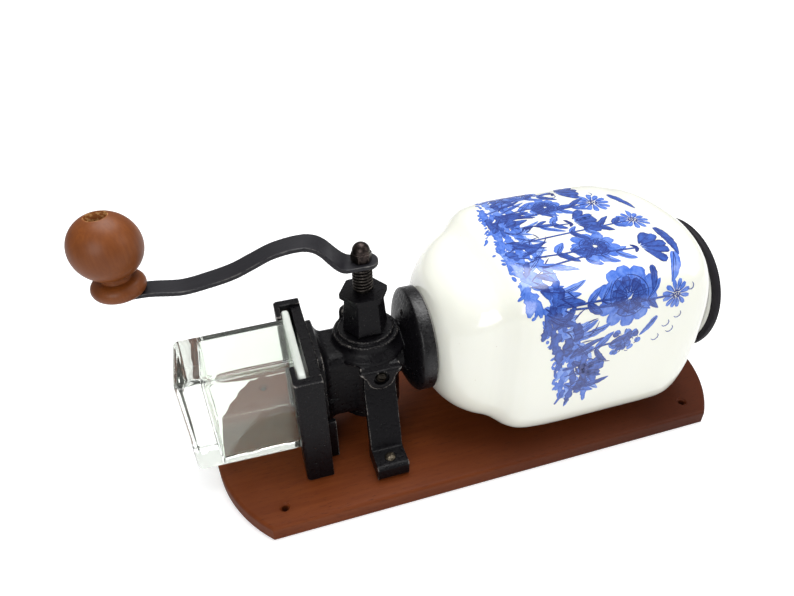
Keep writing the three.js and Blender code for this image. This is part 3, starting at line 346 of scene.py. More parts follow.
# Stained beech under satin varnish: fine streaks along X about 3 mm apart, dark pores a few
# millimetres long, a slow change of tone, and painted shade that darkens it toward the jar's end,
# where the jar hangs over the board. Satin gloss.
board_wood, tree, shader, place, streaks, pores, tone = material(
    "stained beech, satin varnish", "#643213", 0.5, (3 * mm, 3, 0.6, 0.06), (0.6 * mm, 1, 0.5, 0.12),
    (90 * mm, 2, 0.5, 1), Specular_IOR_Level=0.13)
along = add(tree, "SeparateXYZ", {"Vector": place})
# The layer ramped along X is painted shade: darker toward the jar's end, where the jar hangs over the board
stained = coats(tree, "#642e10", (streaks, 0.35, 0.68, 1, "#703716"), (tone, 0.35, 0.7, 1, "#5c2a10"),
                (along, -40 * mm, 110 * mm, 0.75, "#411a0b"), (pores, 0.62, 0.74, 0.45, "#2b120a"))
surfaced(tree, shader, stained, relief=(streaks, 0.12, 0.3 * mm))
fitted(board, board_wood, "stand", "board_wood", "back_board")


# Mill housing: one iron casting with a ridge, a collar and an upright ear, the chute toward the cup
# with its flange, the funnel that carries the jar, and an ear on each side for a leg. Sand-cast, its
# corners filleted by the mould, bored and tapped, then enamelled black and worn bright at its edges.

def flowing(rows, steps):
    """A smooth run through rows of numbers, steps to each gap: a cubic that passes each row along
    the line from the row before it to the row after it."""
    rows = np.asarray(rows, dtype=float)
    slope = np.gradient(rows, axis=0)
    s = np.linspace(0, 1, steps, endpoint=False)[:, None, None]
    run = ((2 * s**3 - 3 * s**2 + 1) * rows[:-1] + (s**3 - 2 * s**2 + s) * slope[:-1]
           + (3 * s**2 - 2 * s**3) * rows[1:] + (s**3 - s**2) * slope[1:])
    return np.vstack([run.transpose(1, 0, 2).reshape(-1, rows.shape[1]), rows[-1:]])


def round_rings(rows, sides=72):
    """Circles that face X, from rows of [x, height, radius]."""
    x, height, radius = np.array(rows, dtype=float).T[:, :, None]
    return points_of(x, radius * np.cos(circle(sides)), height + radius * np.sin(circle(sides)))


def box_rings(rows, steps=7):
    """Rectangles with round corners that face X, from rows of [x, half width, low, high, rounding]."""
    x, half, low, high, rounding = np.array(rows, dtype=float).T[:, :, None]
    angle = (np.linspace(0, np.pi / 2, steps) + np.pi / 2 * np.arange(4)[:, None]).ravel()
    across = np.repeat([1, -1, -1, 1], steps)
    upward = np.repeat([1, 1, -1, -1], steps)
    y = across * (half - rounding) + rounding * np.cos(angle)
    z = (low + high) / 2 + upward * ((high - low) / 2 - rounding) + rounding * np.sin(angle)
    return points_of(x, y, z)


def slab(outline, low, high, order=(0, 1, 2)):
    """A flat outline of [across, up] points pushed from low to high along a third axis; order says
    which of across, up and along runs on X, Y and Z."""
    outline = np.array(outline, dtype=float)
    rows = [np.column_stack([outline, np.full(len(outline), level)]) for level in (low, high)]
    return np.array(rows)[..., list(order)]


def swung(grid, angle):
    """The grid turned about Z."""
    cos, sin = math.cos(angle), math.sin(angle)
    return grid @ np.array([[cos, sin, 0], [-sin, cos, 0], [0, 0, 1]])


def laid(grid, sign=1):
    """A form made about Z, laid along X, or along -X where sign is -1."""
    return points_of(grid[..., 2] * sign, grid[..., 1], -grid[..., 0] * sign)


def faced(grid, side):
    """A form made about Z, laid along Y, or along -Y where side is -1."""
    return points_of(grid[..., 0], grid[..., 2] * side, -grid[..., 1] * side)


def arc(across, up, radius, start, end, steps=12):
    """Points of an arc, its angles in degrees."""
    angle = np.radians(np.linspace(start, end, steps))
    return np.stack([across + radius * np.cos(angle), up + radius * np.sin(angle)], axis=-1).tolist()


def peg(radius, low, high, sides=40):
    """A plain round bar about Z."""
    return turned([[0, low], [radius, low], [radius, high], [0, high]], sides)


def cast(made, voxel, rounds):
    """The piece's shells fused into one skin of voxels, then eased so that its corners are round."""
    remesh = made.modifiers.new("fuse", "REMESH")
    remesh.mode = "VOXEL"
    remesh.voxel_size = voxel
    ease = made.modifiers.new("ease", "SMOOTH")
    ease.factor = 0.5
    ease.iterations = rounds
    return worked(made)


EDGE_REACH = 1.3 * mm
EDGE_UNIT = 0.01 * mm


def mark_edges(made, rounds=3):
    """Stores for each point how far it stands out of the mean of its neighbours, evened out over a
    few rounds, in units of 0.01 mm, as the attribute "edge": convex edges are above zero. Neighbours
    further off than EDGE_REACH aren't counted, and a point without any has zero."""
    mesh = made.data
    count = len(mesh.vertices)
    points, normals = np.empty(count * 3), np.empty(count * 3)
    mesh.vertices.foreach_get("co", points)
    mesh.vertices.foreach_get("normal", normals)
    points, normals = points.reshape(-1, 3), normals.reshape(-1, 3)
    ends = np.empty(len(mesh.edges) * 2, dtype=np.int32)
    mesh.edges.foreach_get("vertices", ends)
    a, b = ends.reshape(-1, 2).T
    close = np.linalg.norm(points[a] - points[b], axis=1) < EDGE_REACH
    a, b = a[close], b[close]
    near = np.bincount(a, minlength=count) + np.bincount(b, minlength=count)
    alone = near == 0
    near[alone] = 1

    def evened(values):
        return (np.bincount(a, values[b], count) + np.bincount(b, values[a], count)) / near

    middle = np.stack([evened(points[:, k]) for k in range(3)], axis=-1)
    out = ((points - middle) * normals).sum(axis=1) / EDGE_UNIT
    out[alone] = 0
    for _ in range(rounds):
        out = (out + evened(out)) / 2
    mesh.attributes.new("edge", "FLOAT", "POINT").data.foreach_set("value", out.astype(np.float32))


SPINDLE_X = -71 * mm
SPINDLE = (SPINDLE_X, 0, 0)
FIT = 0.3 * mm
HUB_BASE, HUB_RADIUS, HUB_TOP = mm * np.array([33.5, 20, 89.5])
RIDGE_RADIUS, RIDGE_HEIGHT, RIDGE_HALF = mm * np.array([24.5, 78, 0.8])
COLLAR_RADIUS, COLLAR_HEIGHT, COLLAR_RING, RING_RADIUS = mm * np.array([20.2, 84.9, 2, 17.2])
GROOVE, CHAMBER_RADIUS, CHAMBER_ROOF, THREAD_BORE = mm * np.array([0.8, 14.4, 78, 10.3])
BURR_SEAT_RADIUS, BURR_SEAT_TOP, RAIL_FACE = mm * np.array([16.6, 60.3, 105.3])
CHUTE_HALF, CHUTE_TOP, CHUTE_ROUNDING = mm * np.array([17.4, 82, 6.5])
FLANGE_HALF, FLANGE_LOW, FLANGE_HIGH, FLANGE_THICKNESS = mm * np.array([23.4, 24, 87.6, 3.2])
FLANGE_FLARE, PORT_HALF, PORT_LOW, PORT_HIGH, PORT_ROUNDING = mm * np.array([5.2, 12.5, 37.5, 63, 5])
PORT_INNER_LOW, PORT_INNER_HIGH = mm * np.array([38.1, 45])
FUNNEL_FACE, FUNNEL_RADIUS, FUNNEL_MIDDLE, FUNNEL_RIM = mm * np.array([35.4, 33.4, 71.9, 7.6])
FUNNEL_DEPTH, FUNNEL_BORE, JAR_AXIS = mm * np.array([8, 14.5, 73.5])
NECK_RADIUS, NECK_HEIGHT, NECK_BORE, NECK_BORE_HEIGHT = mm * np.array([15, 66, 9, 68.6])
TAB_HALF, TAB_FLARE, TAB_SHIFT, TAB_FACE, TAB_THICKNESS = mm * np.array([8.5, 4.5, 1.8, 28, 3.6])
TAB_LOW, TAB_CORNER, TAB_TOP, TAB_SHELF = mm * np.array([61.1, 8, 77.2, 3])
TAB_SCREW_HEIGHT, TAB_SINK_RADIUS, TAB_SINK = mm * np.array([69.6, 4.9, 1.9])
EAR_HALF, EAR_TOP, EAR_THICKNESS, EAR_REACH = mm * np.array([3.7, 95.9, 3.4, 17.9])
EAR_TURN = math.radians(122)
SCREW_HOLE, HOLDER_HOLE, HOLDER_SPREAD, HOLDER_SCREW_HEIGHT = mm * np.array([2.2, 2, 18.6, 51])
COVER_HOLE, COVER_SCREW_Y, CLAMP_CIRCLE, CLAMP_DEPTH = mm * np.array([1.5, 18.2, 20, 16])
COVER_HOLE_DEPTH, HOLDER_HOLE_DEPTH = mm * np.array([9, 10])
CAST_VOXEL = 0.6 * mm

flare = flowing([[RIDGE_RADIUS, RIDGE_HEIGHT + RIDGE_HALF], [24.2 * mm, 79.6 * mm], [22.4 * mm, 81.2 * mm],
                 [20.8 * mm, 83.0 * mm], [COLLAR_RADIUS, COLLAR_HEIGHT]], 5).tolist()
ring_top = COLLAR_HEIGHT + COLLAR_RING
hub = turned([[0, HUB_BASE], [HUB_RADIUS, HUB_BASE], [HUB_RADIUS, RIDGE_HEIGHT - 4 * RIDGE_HALF],
              [RIDGE_RADIUS, RIDGE_HEIGHT - RIDGE_HALF], *flare, [COLLAR_RADIUS, ring_top],
              [COLLAR_RADIUS - GROOVE, ring_top + GROOVE], [RING_RADIUS + 1.6 * GROOVE, ring_top + GROOVE],
              [RING_RADIUS + 0.8 * GROOVE, COLLAR_HEIGHT + 0.7 * COLLAR_RING], [RING_RADIUS, ring_top],
              [RING_RADIUS, HUB_TOP - GROOVE / 2], [RING_RADIUS - GROOVE, HUB_TOP], [0, HUB_TOP]], 144)
flange_end = -SPINDLE_X - RAIL_FACE + FIT + FLANGE_THICKNESS
plain = np.array([CHUTE_HALF, HUB_BASE, CHUTE_TOP])
wide = np.array([FLANGE_HALF, FLANGE_LOW, FLANGE_HIGH])
chute_rows = [[0, *plain, CHUTE_ROUNDING]]
for share in np.linspace(0, 1, 9):
    grow = 1 - math.sqrt(1 - share ** 2)
    chute_rows.append([flange_end + FLANGE_FLARE * (1 - share), *(plain + (wide - plain) * grow),
                       CHUTE_ROUNDING])
chute_rows.append([flange_end - FLANGE_THICKNESS, *wide, CHUTE_ROUNDING])
face = -SPINDLE_X - FUNNEL_FACE
rim = face - FUNNEL_RIM
grown = flowing([[0, 0], [0.08, 0.06], [0.35, 0.45], [0.62, 0.8], [0.86, 0.97], [1, 1]], 4)
funnel_rows = [[0, NECK_HEIGHT, NECK_RADIUS]]
funnel_rows += [[rim - FUNNEL_DEPTH * (1 - run), NECK_HEIGHT + (FUNNEL_MIDDLE - NECK_HEIGHT) * share,
                 NECK_RADIUS + (FUNNEL_RADIUS - NECK_RADIUS) * share] for run, share in grown]
funnel_rows += [[face, FUNNEL_MIDDLE, FUNNEL_RADIUS]]
tab_wide = TAB_HALF + TAB_FLARE
shelf_low = TAB_TOP - TAB_SHELF
tab = slab([[-tab_wide, shelf_low + GROOVE],
            *arc(TAB_CORNER - TAB_HALF, TAB_LOW + TAB_CORNER, TAB_CORNER, 180, 270),
            *arc(TAB_HALF - TAB_CORNER, TAB_LOW + TAB_CORNER, TAB_CORNER, 270, 360),
            [tab_wide, shelf_low + GROOVE]], TAB_FACE - TAB_THICKNESS, TAB_FACE, (0, 2, 1))
shelf = slab([[HUB_RADIUS / 2, shelf_low], [TAB_FACE - GROOVE, shelf_low],
              [TAB_FACE - GROOVE / 2, shelf_low + GROOVE / 2], [RIDGE_RADIUS, TAB_TOP],
              [HUB_RADIUS / 2, TAB_TOP]], GROOVE - tab_wide, tab_wide - GROOVE, (2, 0, 1))
ear = slab([[-EAR_HALF, COLLAR_HEIGHT], [EAR_HALF, COLLAR_HEIGHT],
            *arc(0, EAR_TOP - EAR_HALF, EAR_HALF, 0, 180)],
           EAR_REACH - EAR_THICKNESS / 2, EAR_REACH + EAR_THICKNESS / 2, (2, 0, 1))
forms = [hub, box_rings(chute_rows), round_rings(funnel_rows, 144), swung(ear, EAR_TURN)]
forms += [moved(swung(form, turn), TAB_SHIFT) for form in (tab, shelf) for turn in (0, math.pi)]
housing = cast(piece("housing", *forms, at=SPINDLE), CAST_VOXEL, 4)
bores = [
    peg(BURR_SEAT_RADIUS, HUB_BASE - CLEAR, BURR_SEAT_TOP, 96),
    peg(CHAMBER_RADIUS, BURR_SEAT_TOP - CLEAR, CHAMBER_ROOF, 96),
    peg(THREAD_BORE, CHAMBER_ROOF - CLEAR, HUB_TOP + CLEAR, 96),
    box_rings([[CLEAR - CHAMBER_RADIUS, PORT_HALF - CLEAR, PORT_INNER_LOW, PORT_INNER_HIGH,
                PORT_ROUNDING / 2],
               [-BURR_SEAT_RADIUS, PORT_HALF, PORT_INNER_LOW, PORT_INNER_HIGH, PORT_ROUNDING / 2],
               [-SPINDLE_X - RAIL_FACE - CLEAR, PORT_HALF, PORT_LOW, PORT_HIGH, PORT_ROUNDING]]),
    round_rings([[CHAMBER_RADIUS / 2, NECK_BORE_HEIGHT, NECK_BORE],
                 [rim - FUNNEL_DEPTH, NECK_BORE_HEIGHT, NECK_BORE],
                 [face - FUNNEL_RIM / 2, JAR_AXIS, FUNNEL_BORE], [face + CLEAR, JAR_AXIS, FUNNEL_BORE]], 96),
]
for side in (-1, 1):
    bores += [moved(faced(form, side), TAB_SHIFT, z=TAB_SCREW_HEIGHT) for form in (
        peg(SCREW_HOLE, HUB_RADIUS, TAB_FACE + CLEAR),
        peg(TAB_SINK_RADIUS, TAB_FACE - TAB_SINK, TAB_FACE + CLEAR))]
    bores += [moved(laid(peg(HOLDER_HOLE, -CLEAR, HOLDER_HOLE_DEPTH + CLEAR)), flange_end - FLANGE_THICKNESS,
                    side * HOLDER_SPREAD, HOLDER_SCREW_HEIGHT),
              moved(peg(COVER_HOLE, HUB_BASE - CLEAR, HUB_BASE + COVER_HOLE_DEPTH), y=side * COVER_SCREW_Y)]
clamp_places = [(CLAMP_CIRCLE * math.cos(a), CLAMP_CIRCLE * math.sin(a)) for a in np.pi / 2 + circle(3)]
bores += [moved(laid(peg(SCREW_HOLE, -CLAMP_DEPTH, CLEAR)), face, y, JAR_AXIS + z) for y, z in clamp_places]
carved(housing, *bores, at=SPINDLE)
mark_edges(housing)


def rubbed(tree, noise, least, most):
    """How hard an edge has been rubbed: its height times least to most, as a noise has it."""
    edge = add(tree, "Attribute", out="Fac", attribute_name="edge")
    broken = add(tree, "MapRange", {"Value": noise, "From Min": 0.3, "From Max": 0.7, "To Min": least,
                                    "To Max": most})
    return add(tree, "Math", {0: edge, 1: broken}, operation="MULTIPLY")


# Black enamel over a sand-cast skin: pits and lumps of 1 to 2 mm, gloss that varies, and bare
# grey iron where an edge stands out and the enamel has rubbed off. Its gloss is wetter on the funnel.
CAST_LUMP, CAST_GRAIN, CAST_RELIEF = mm * np.array([2.2, 0.9, 0.5])
DULL_X, WET_X = -46 * mm, -40 * mm


def enamelled_iron(name, wear_from, wear_to):
    """Cast iron enamel, its bare edges showing from one height of the edge attribute to another."""
    made, tree, shader, place, lumps, grains = material(
        name, "#0d0c0f", 0.35, (CAST_LUMP, 2, 0.5, 1), (CAST_GRAIN, 2, 0.6, 1), Specular_IOR_Level=0.14)
    skin = coats(tree, "#070608", (lumps, 0, 1, 1, "#100f12"),
                 (rubbed(tree, grains, 0.6, 1.3), wear_from, wear_to, 1, "#8d8883"))
    height = add(tree, "Mix", {"Factor": 0.4, "A": lumps, "B": grains})
    surfaced(tree, shader, skin, (lumps, 0.3, 0.7, 0.24, 0.44), (height, 0.8, CAST_RELIEF))
    along = add(tree, "SeparateXYZ", {"Vector": place})
    feed(tree, shader, {"Specular IOR Level": add(tree, "MapRange", {
        "Value": along, "From Min": DULL_X, "From Max": WET_X, "To Min": 0.14, "To Max": 0.5})})
    return made


cast_enamel = enamelled_iron("cast iron, black enamel, worn edges", 3.6, 7.5)
fitted(housing, cast_enamel, "stand", "black_casting", "mill_housing")


# Legs: cast limbs, the near one below the hub in the photograph. Each stands against the housing's
# ear, leans out and ends in a square lug on the board, with bevelled and worn edges.

SIDES = (("near", -1), ("far", 1))
BOARD_FRONT, LEG_HALF, LEG_FACE, LEG_THICKNESS = mm * np.array([11.3, 10, 24.1, 3.8])
LEG_TOP, LEG_BEND, LEG_FOOT_FACE, LEG_FOOT_THICKNESS = mm * np.array([73.9, 60, 40, 7])
LUG_FRONT, LUG_TOP, LUG_BEVEL, FOOT_SCREW_Y = mm * np.array([55, 22, 2.2, 47.5])
LEG_VOXEL = 0.5 * mm

leg_back, foot_back = LEG_FACE - LEG_THICKNESS, LEG_FOOT_FACE - LEG_FOOT_THICKNESS
limb = slab([[leg_back, LEG_TOP], [LEG_FACE, LEG_TOP], [LEG_FACE, LEG_BEND], [LEG_FOOT_FACE, LUG_TOP],
             [LUG_FRONT - LUG_BEVEL, LUG_TOP], [LUG_FRONT, LUG_TOP - LUG_BEVEL / 2],
             [LUG_FRONT, BOARD_FRONT + LUG_BEVEL], [LUG_FRONT - LUG_BEVEL / 2, BOARD_FRONT],
             [foot_back, BOARD_FRONT], [foot_back, LUG_TOP], [leg_back, LEG_BEND]],
            -LEG_HALF, LEG_HALF, (2, 0, 1))
for name, side in SIDES:
    leaning = moved(swung(limb, 0 if side > 0 else math.pi), SPINDLE_X)
    leaning[..., 0] += TAB_SHIFT * (leaning[..., 2] - BOARD_FRONT) / (TAB_SCREW_HEIGHT - BOARD_FRONT)
    leg = cast(piece("leg_" + name, leaning), LEG_VOXEL, 3)
    carved(leg, moved(faced(peg(SCREW_HOLE, 0, TAB_FACE), side), TAB_SHIFT, z=TAB_SCREW_HEIGHT),
           moved(peg(SCREW_HOLE, 0, LUG_TOP + CLEAR), y=side * FOOT_SCREW_Y), at=SPINDLE)
    mark_edges(leg)
    fitted(leg, cast_enamel, "stand", "black_casting", "bracket_leg_" + name)


# Screws of the legs: a domed, slotted bolt in black oxide sunk in the housing's ear, and a
# round-headed wood screw of tarnished steel in each foot lug, the slots milled across.

def steel(name, light, dark, roughness, mottle):
    """Bare steel: two tones in patches of one size, which its gloss and a faint relief follow."""
    made, tree, shader, _, patches = material(name, light, roughness, (mottle, 4, 0.65, 1), Metallic=1.0)
    surfaced(tree, shader, coats(tree, light, (patches, 0.38, 0.66, 1, dark)),
             (patches, 0, 1, roughness - 0.1, roughness + 0.18), (patches, 0.25, 0.05 * mm))
    return made


def oblong(left, right, low, high):
    """The outline of a rectangle."""
    return [[left, low], [right, low], [right, high], [left, high]]


# Tarnished steel looks grey-brown and dull, and black oxide nearly black with a soft shine
screw_steel = steel("tarnished screw steel", "#6b6254", "#37322b", 0.36, 1.6 * mm)
oxide_steel = steel("black oxide screw steel", "#34302b", "#1b1916", 0.4, 1.6 * mm)
SLOT_HALF, SLOT_DEPTH, SLOT_REACH = mm * np.array([0.45, 0.8, 6])


def screw(name, node, sizes, place, slot_turn=0.0, finish=screw_steel):
    """A slotted, round-headed screw for a CAD node, made about Z with its head's seat at zero, from
    [radius, length, head's radius, head's height] in millimetres; place puts it where it belongs."""
    radius, length, head, height = mm * np.array(sizes)
    angle = np.linspace(0, np.pi / 2, 8)[1:]
    dome = np.stack([head * np.cos(angle) ** 0.8, height * np.sin(angle)], axis=-1)
    made = piece(name, place(turned([
        [0, -length], [radius / 2, -length], [radius, radius - length], [radius, 0], [head, 0],
        [head, height * 0.12], *dome.tolist()], 48)))
    slot = slab(oblong(-SLOT_REACH, SLOT_REACH, -SLOT_HALF, SLOT_HALF), height - SLOT_DEPTH, height + CLEAR)
    carved(made, place(swung(slot, slot_turn)))
    fitted(made, finish, "stand", "screw_steel", node)


for name, side in SIDES:
    screw("foot_screw_" + name + "_turned", "foot_screw_" + name, (1.9, 18.4, 3.4, 1.7),
          lambda grid: moved(grid, SPINDLE_X, side * FOOT_SCREW_Y, LUG_TOP + FIT), math.radians(35))
    screw("leg_screw_" + name + "_turned", "leg_screw_" + name, (1.9, 5.5, 3.5, 2.2),
          lambda grid: moved(faced(grid, side), SPINDLE_X + TAB_SHIFT, side * (TAB_FACE - TAB_SINK + FIT),
                             TAB_SCREW_HEIGHT), math.radians(-20), oxide_steel)


# Cup holder: an iron plate with a C-shaped rail down each side and two ribs on the board, cast in one
# piece and enamelled like the housing. Two countersunk screws hold it to the chute's flange.

RAIL_DEPTH, RAIL_HALF, RAIL_WEB, RAIL_LIP, LIP_THICKNESS = mm * np.array([16.6, 41.4, 6, 17.9, 3.3])
RAIL_TOP, RAIL_ROUNDING, PLATE_THICKNESS, PLATE_TOP = mm * np.array([90.2, 1.4, 6.2, 88])
RIB_Y, RIB_HALF, RIB_REACH, RIB_TOP = mm * np.array([25.5, 1.8, 6.6, 42])
HOLDER_SINK = mm * np.array([[0, -1], [3.5, -1], [3.5, 0.3], [2, 1.8], [2, 12], [0, 12]])
FLAT_SCREW = mm * np.array([[0, 10], [1.7, 10], [1.7, 1.5], [3.2, 0.1], [3.0, 0], [0, 0]])

front, back_x = -RAIL_FACE, -RAIL_FACE - RAIL_DEPTH
web, lip = RAIL_HALF - RAIL_WEB, RAIL_HALF - RAIL_LIP
lip_x, slot_x = back_x + LIP_THICKNESS, -RAIL_FACE - PLATE_THICKNESS
section = [[back_x + RAIL_ROUNDING, RAIL_HALF], [back_x, RAIL_HALF - RAIL_ROUNDING], [back_x, lip],
           [lip_x, lip], [lip_x, web], [slot_x, web]]
section = [[front, -RAIL_HALF], [front, RAIL_HALF], *section, *[[x, -y] for x, y in section[::-1]]]
ribs = [slab(oblong(front - CLEAR, front + RIB_REACH, y - RIB_HALF, y + RIB_HALF), BOARD_FRONT, RIB_TOP)
        for y in (-RIB_Y, RIB_Y)]
holder = cast(piece("holder", slab(section, BOARD_FRONT, RAIL_TOP), *ribs), CAST_VOXEL, 3)
notch = slab(oblong(slot_x - CLEAR, front + CLEAR, -web, web), PLATE_TOP, RAIL_TOP + CLEAR)
port = box_rings([[x, PORT_HALF, PORT_LOW, PORT_HIGH, PORT_ROUNDING]
                  for x in (slot_x - CLEAR, front + CLEAR)])
sinks = [moved(laid(turned(HOLDER_SINK, 40)), slot_x, side * HOLDER_SPREAD, HOLDER_SCREW_HEIGHT)
         for side in (-1, 1)]
carved(holder, notch, port, *sinks)
mark_edges(holder)
# The housing's enamel with fewer bare edges, so the rails look blacker and more even
fitted(holder, enamelled_iron("cast iron rails, satin black enamel", 4.2, 8.5), "stand", "black_casting",
       "cup_holder")
for name, side in SIDES:
    sunk = piece("holder_screw_" + name + "_turned", laid(turned(FLAT_SCREW, 40)),
                 at=(slot_x + FIT, side * HOLDER_SPREAD, HOLDER_SCREW_HEIGHT))
    fitted(sunk, screw_steel, "stand", "screw_steel", "holder_screw_" + name)


# Bearing cover: a turned iron disc under the hub with a boss that holds the spindle's foot, and its
# two small screws, which go up into the hub.

COVER = mm * np.array([[4.6, 30.2], [19.6, 30.2], [20, 30.6], [20, 33.2], [8, 33.2], [8, 37.8], [4.6, 37.8]])
COVER_SEAT, COVER_CUT_LOW, COVER_CUT_HIGH = mm * np.array([29.9, 29, 34])

cover = piece("cover", turned(COVER, 96), at=SPINDLE, ring=True)
cover_hole = peg(COVER_HOLE, COVER_CUT_LOW, COVER_CUT_HIGH)
carved(cover, *[moved(cover_hole, y=side * COVER_SCREW_Y) for side in (-1, 1)], at=SPINDLE)
fitted(cover, cast_enamel, "stand", "black_casting", "bearing_cover")
for name, side in SIDES:
    screw("cover_screw_" + name + "_turned", "cover_screw_" + name, (1.2, 11.4, 2.2, 1.6),
          lambda grid: moved(grid * np.array([1, -1, -1]), SPINDLE_X, side * COVER_SCREW_Y, COVER_SEAT))


# Glass cup: a pressed glass box with a wide flange that runs in the rails. Its walls and its far end
# are thick, with the soft corners and faint waves of moulded glass.

CUP_LENGTH, CUP_FLANGE, CUP_FLANGE_HALF, CUP_FLANGE_TOP = mm * np.array([70.6, 4.8, 34.6, 89.6])
CUP_FLANGE_ROUNDING, CUP_FLANGE_EDGE, CUP_HALF, CUP_LOW, CUP_HIGH = mm * np.array([6, 1.6, 23, 19.4, 91])
CUP_TAPER, CUP_ROUNDING, CUP_WALL, CUP_BASE, CUP_HEEL = mm * np.array([0.8, 4.6, 5.4, 14, 3.4])
LEAST_ROUNDING, WHITE_FLANGE_FADE = mm * np.array([1.2, 0.5])

cup_back = lip_x + FIT
cup_mouth = cup_back + CUP_FLANGE
cup_end = cup_mouth - CUP_LENGTH


def cup_row(x, inset):
    """One ring of the cup's wall at x, drawn in by inset and by the mould's taper."""
    taper = CUP_TAPER * (cup_mouth - x) / CUP_LENGTH + inset
    return [x, CUP_HALF - taper, CUP_LOW + taper, CUP_HIGH - taper / 2,
            max(CUP_ROUNDING - inset / 2, LEAST_ROUNDING)]


def flange_row(x, inset):
    """One ring of the cup's flange at x, drawn in by inset."""
    return [x, CUP_FLANGE_HALF - inset, BOARD_FRONT + FIT + inset, CUP_FLANGE_TOP - inset,
            CUP_FLANGE_ROUNDING - inset / 2]


flange_rows = [flange_row(cup_back + CUP_FLANGE_EDGE * up, CUP_FLANGE_EDGE * inset)
               for inset, up in quarter(8)]
flange_rows += [flange_row(cup_mouth - CUP_FLANGE_EDGE * up, CUP_FLANGE_EDGE * inset)
                for inset, up in quarter(8)[::-1]]
heel = CUP_HEEL * quarter(8)
outer_rows = [cup_row(cup_back + FIT, 0), *[cup_row(cup_end + down, inset) for down, inset in heel]]
inner_rows = [cup_row(cup_mouth + CLEAR, CUP_WALL)]
inner_rows += [cup_row(cup_end + CUP_BASE + down, CUP_WALL + inset) for down, inset in heel]
cup = piece("cup_glass_body", box_rings(outer_rows, 9))
carved(cup, box_rings(flange_rows, 9), how="UNION")
carved(cup, box_rings(inner_rows, 9))

# Clear soda glass: slightly grey-green, lets nearly all light through, with slow waves 15 mm apart from
# the mould that bend what is seen through it. Its flange lets less light through and shows a milky
# white, a painted highlight for the bright look of glass seen on its edge.
pressed_glass, tree, shader, place, waves = material(
    "pressed soda glass", "#f6fbf4", 0.02, (15 * mm, 1, 0.5, 1), Transmission_Weight=0.97, IOR=1.5)
surfaced(tree, shader, relief=(waves, 0.35, 0.6 * mm))
along = add(tree, "SeparateXYZ", {"Vector": place})
# Painted highlight: the flange passes less light, so its pale base colour shows white
clear_with_white_flange = add(tree, "MapRange", {"Value": along, "From Min": cup_back - WHITE_FLANGE_FADE,
                                    "From Max": cup_back + FIT, "To Min": 0.97, "To Max": 0.3})
feed(tree, shader, {"Transmission Weight": clear_with_white_flange})
fitted(cup, pressed_glass, "cup", "cup_glass", "glass_cup")


# Burrs, spindle and thrust washer: the milling set inside the hub. The burrs keep the CAD forms with
# hardened dark steel on them; the spindle is turned afresh, since it shows between the spring's curls.

# Hardened steel looks mid grey with darker patches; the ground washer is paler and shinier
burr_steel = steel("hardened burr steel", "#6f6b66", "#4a4643", 0.38, 2.5 * mm)
washer_steel = steel("ground washer steel", "#b9b5ad", "#98938a", 0.28, 3 * mm)
for node, finish in (("inner_burr", burr_steel), ("outer_burr", burr_steel), ("thrust_washer", washer_steel)):
    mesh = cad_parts[node].data
    mesh.materials.clear()
    mesh.materials.append(finish)

CRANK_LOW, CRANK_THICKNESS, SQUARE_HALF, THREAD_PITCH = mm * np.array([134.2, 2.5, 2.9, 0.9])
CRANK_TOP = CRANK_LOW + CRANK_THICKNESS
TIP_TOP = CRANK_TOP + 7.2 * mm
THREAD_ROOT, THREAD_CREST = mm * np.array([2.55, 2.9])

shaft = turned([*(mm * np.array([[0, 30.5], [3.9, 30.5], [4.2, 30.8], [4.2, 76.2], [6.8, 76.2], [6.8, 78.2],
                                 [4.2, 78.2]])), [4.2 * mm, CRANK_LOW - FIT], [0, CRANK_LOW - FIT]], 64)
flat = np.array([[SQUARE_HALF, FIT - SQUARE_HALF, 0], [SQUARE_HALF, SQUARE_HALF - FIT, 0]])
square = slab(np.vstack([swung(flat, turn) for turn in circle(4)])[:, :2], CRANK_LOW - 0.5 * mm, CRANK_TOP)
threads = []
for height in np.arange(CRANK_TOP, TIP_TOP - THREAD_PITCH, THREAD_PITCH):
    threads += [[THREAD_ROOT, height], [THREAD_CREST, height + THREAD_PITCH / 2]]
tip = turned([[0, CRANK_TOP - 0.2 * mm], *threads, [2.5 * mm, TIP_TOP], [0, TIP_TOP]], 48)
spindle = piece("spindle_turned", shaft, square, tip, at=SPINDLE)
# Turned steel gone dark, blotched in small patches, with a soft shine
fitted(spindle, steel("turned spindle steel", "#6a655f", "#3d3936", 0.32, 2 * mm), "crank", "screw_steel",
       "spindle")


# Adjuster: an iron sleeve that screws into the hub, with a six-sided column that tapers up to a thin
# six-sided head. Cast and enamelled with the housing, its corners soft and a little worn.

COLUMN_LOW, COLUMN_TOP, COLUMN_FOOT, COLUMN_HEAD = mm * np.array([90.4, 113.1, 24.4, 20.8])
HEAD_ACROSS, HEAD_LOW, HEAD_TOP = mm * np.array([25.6, 112.8, 116.4])
SLEEVE_LOW, SLEEVE_RADIUS, SHAFT_BORE, SLEEVE_PITCH = mm * np.array([80, 10, 4.6, 1])
CORNER_SHARE = 1.145
ADJUSTER_VOXEL = 0.4 * mm


def hexagons(rows, sides=96):
    """Six-sided rings about Z with corners on Y, from rows of [across flats, reach, height]: at each
    angle the flat's distance over the cosine, cut off at the reach."""
    across, reach, height = np.array(rows, dtype=float).T[:, :, None]
    within = np.mod(circle(sides), np.pi / 3) - np.pi / 6
    return spun(np.minimum(across / 2 / np.cos(within), reach), height, sides)


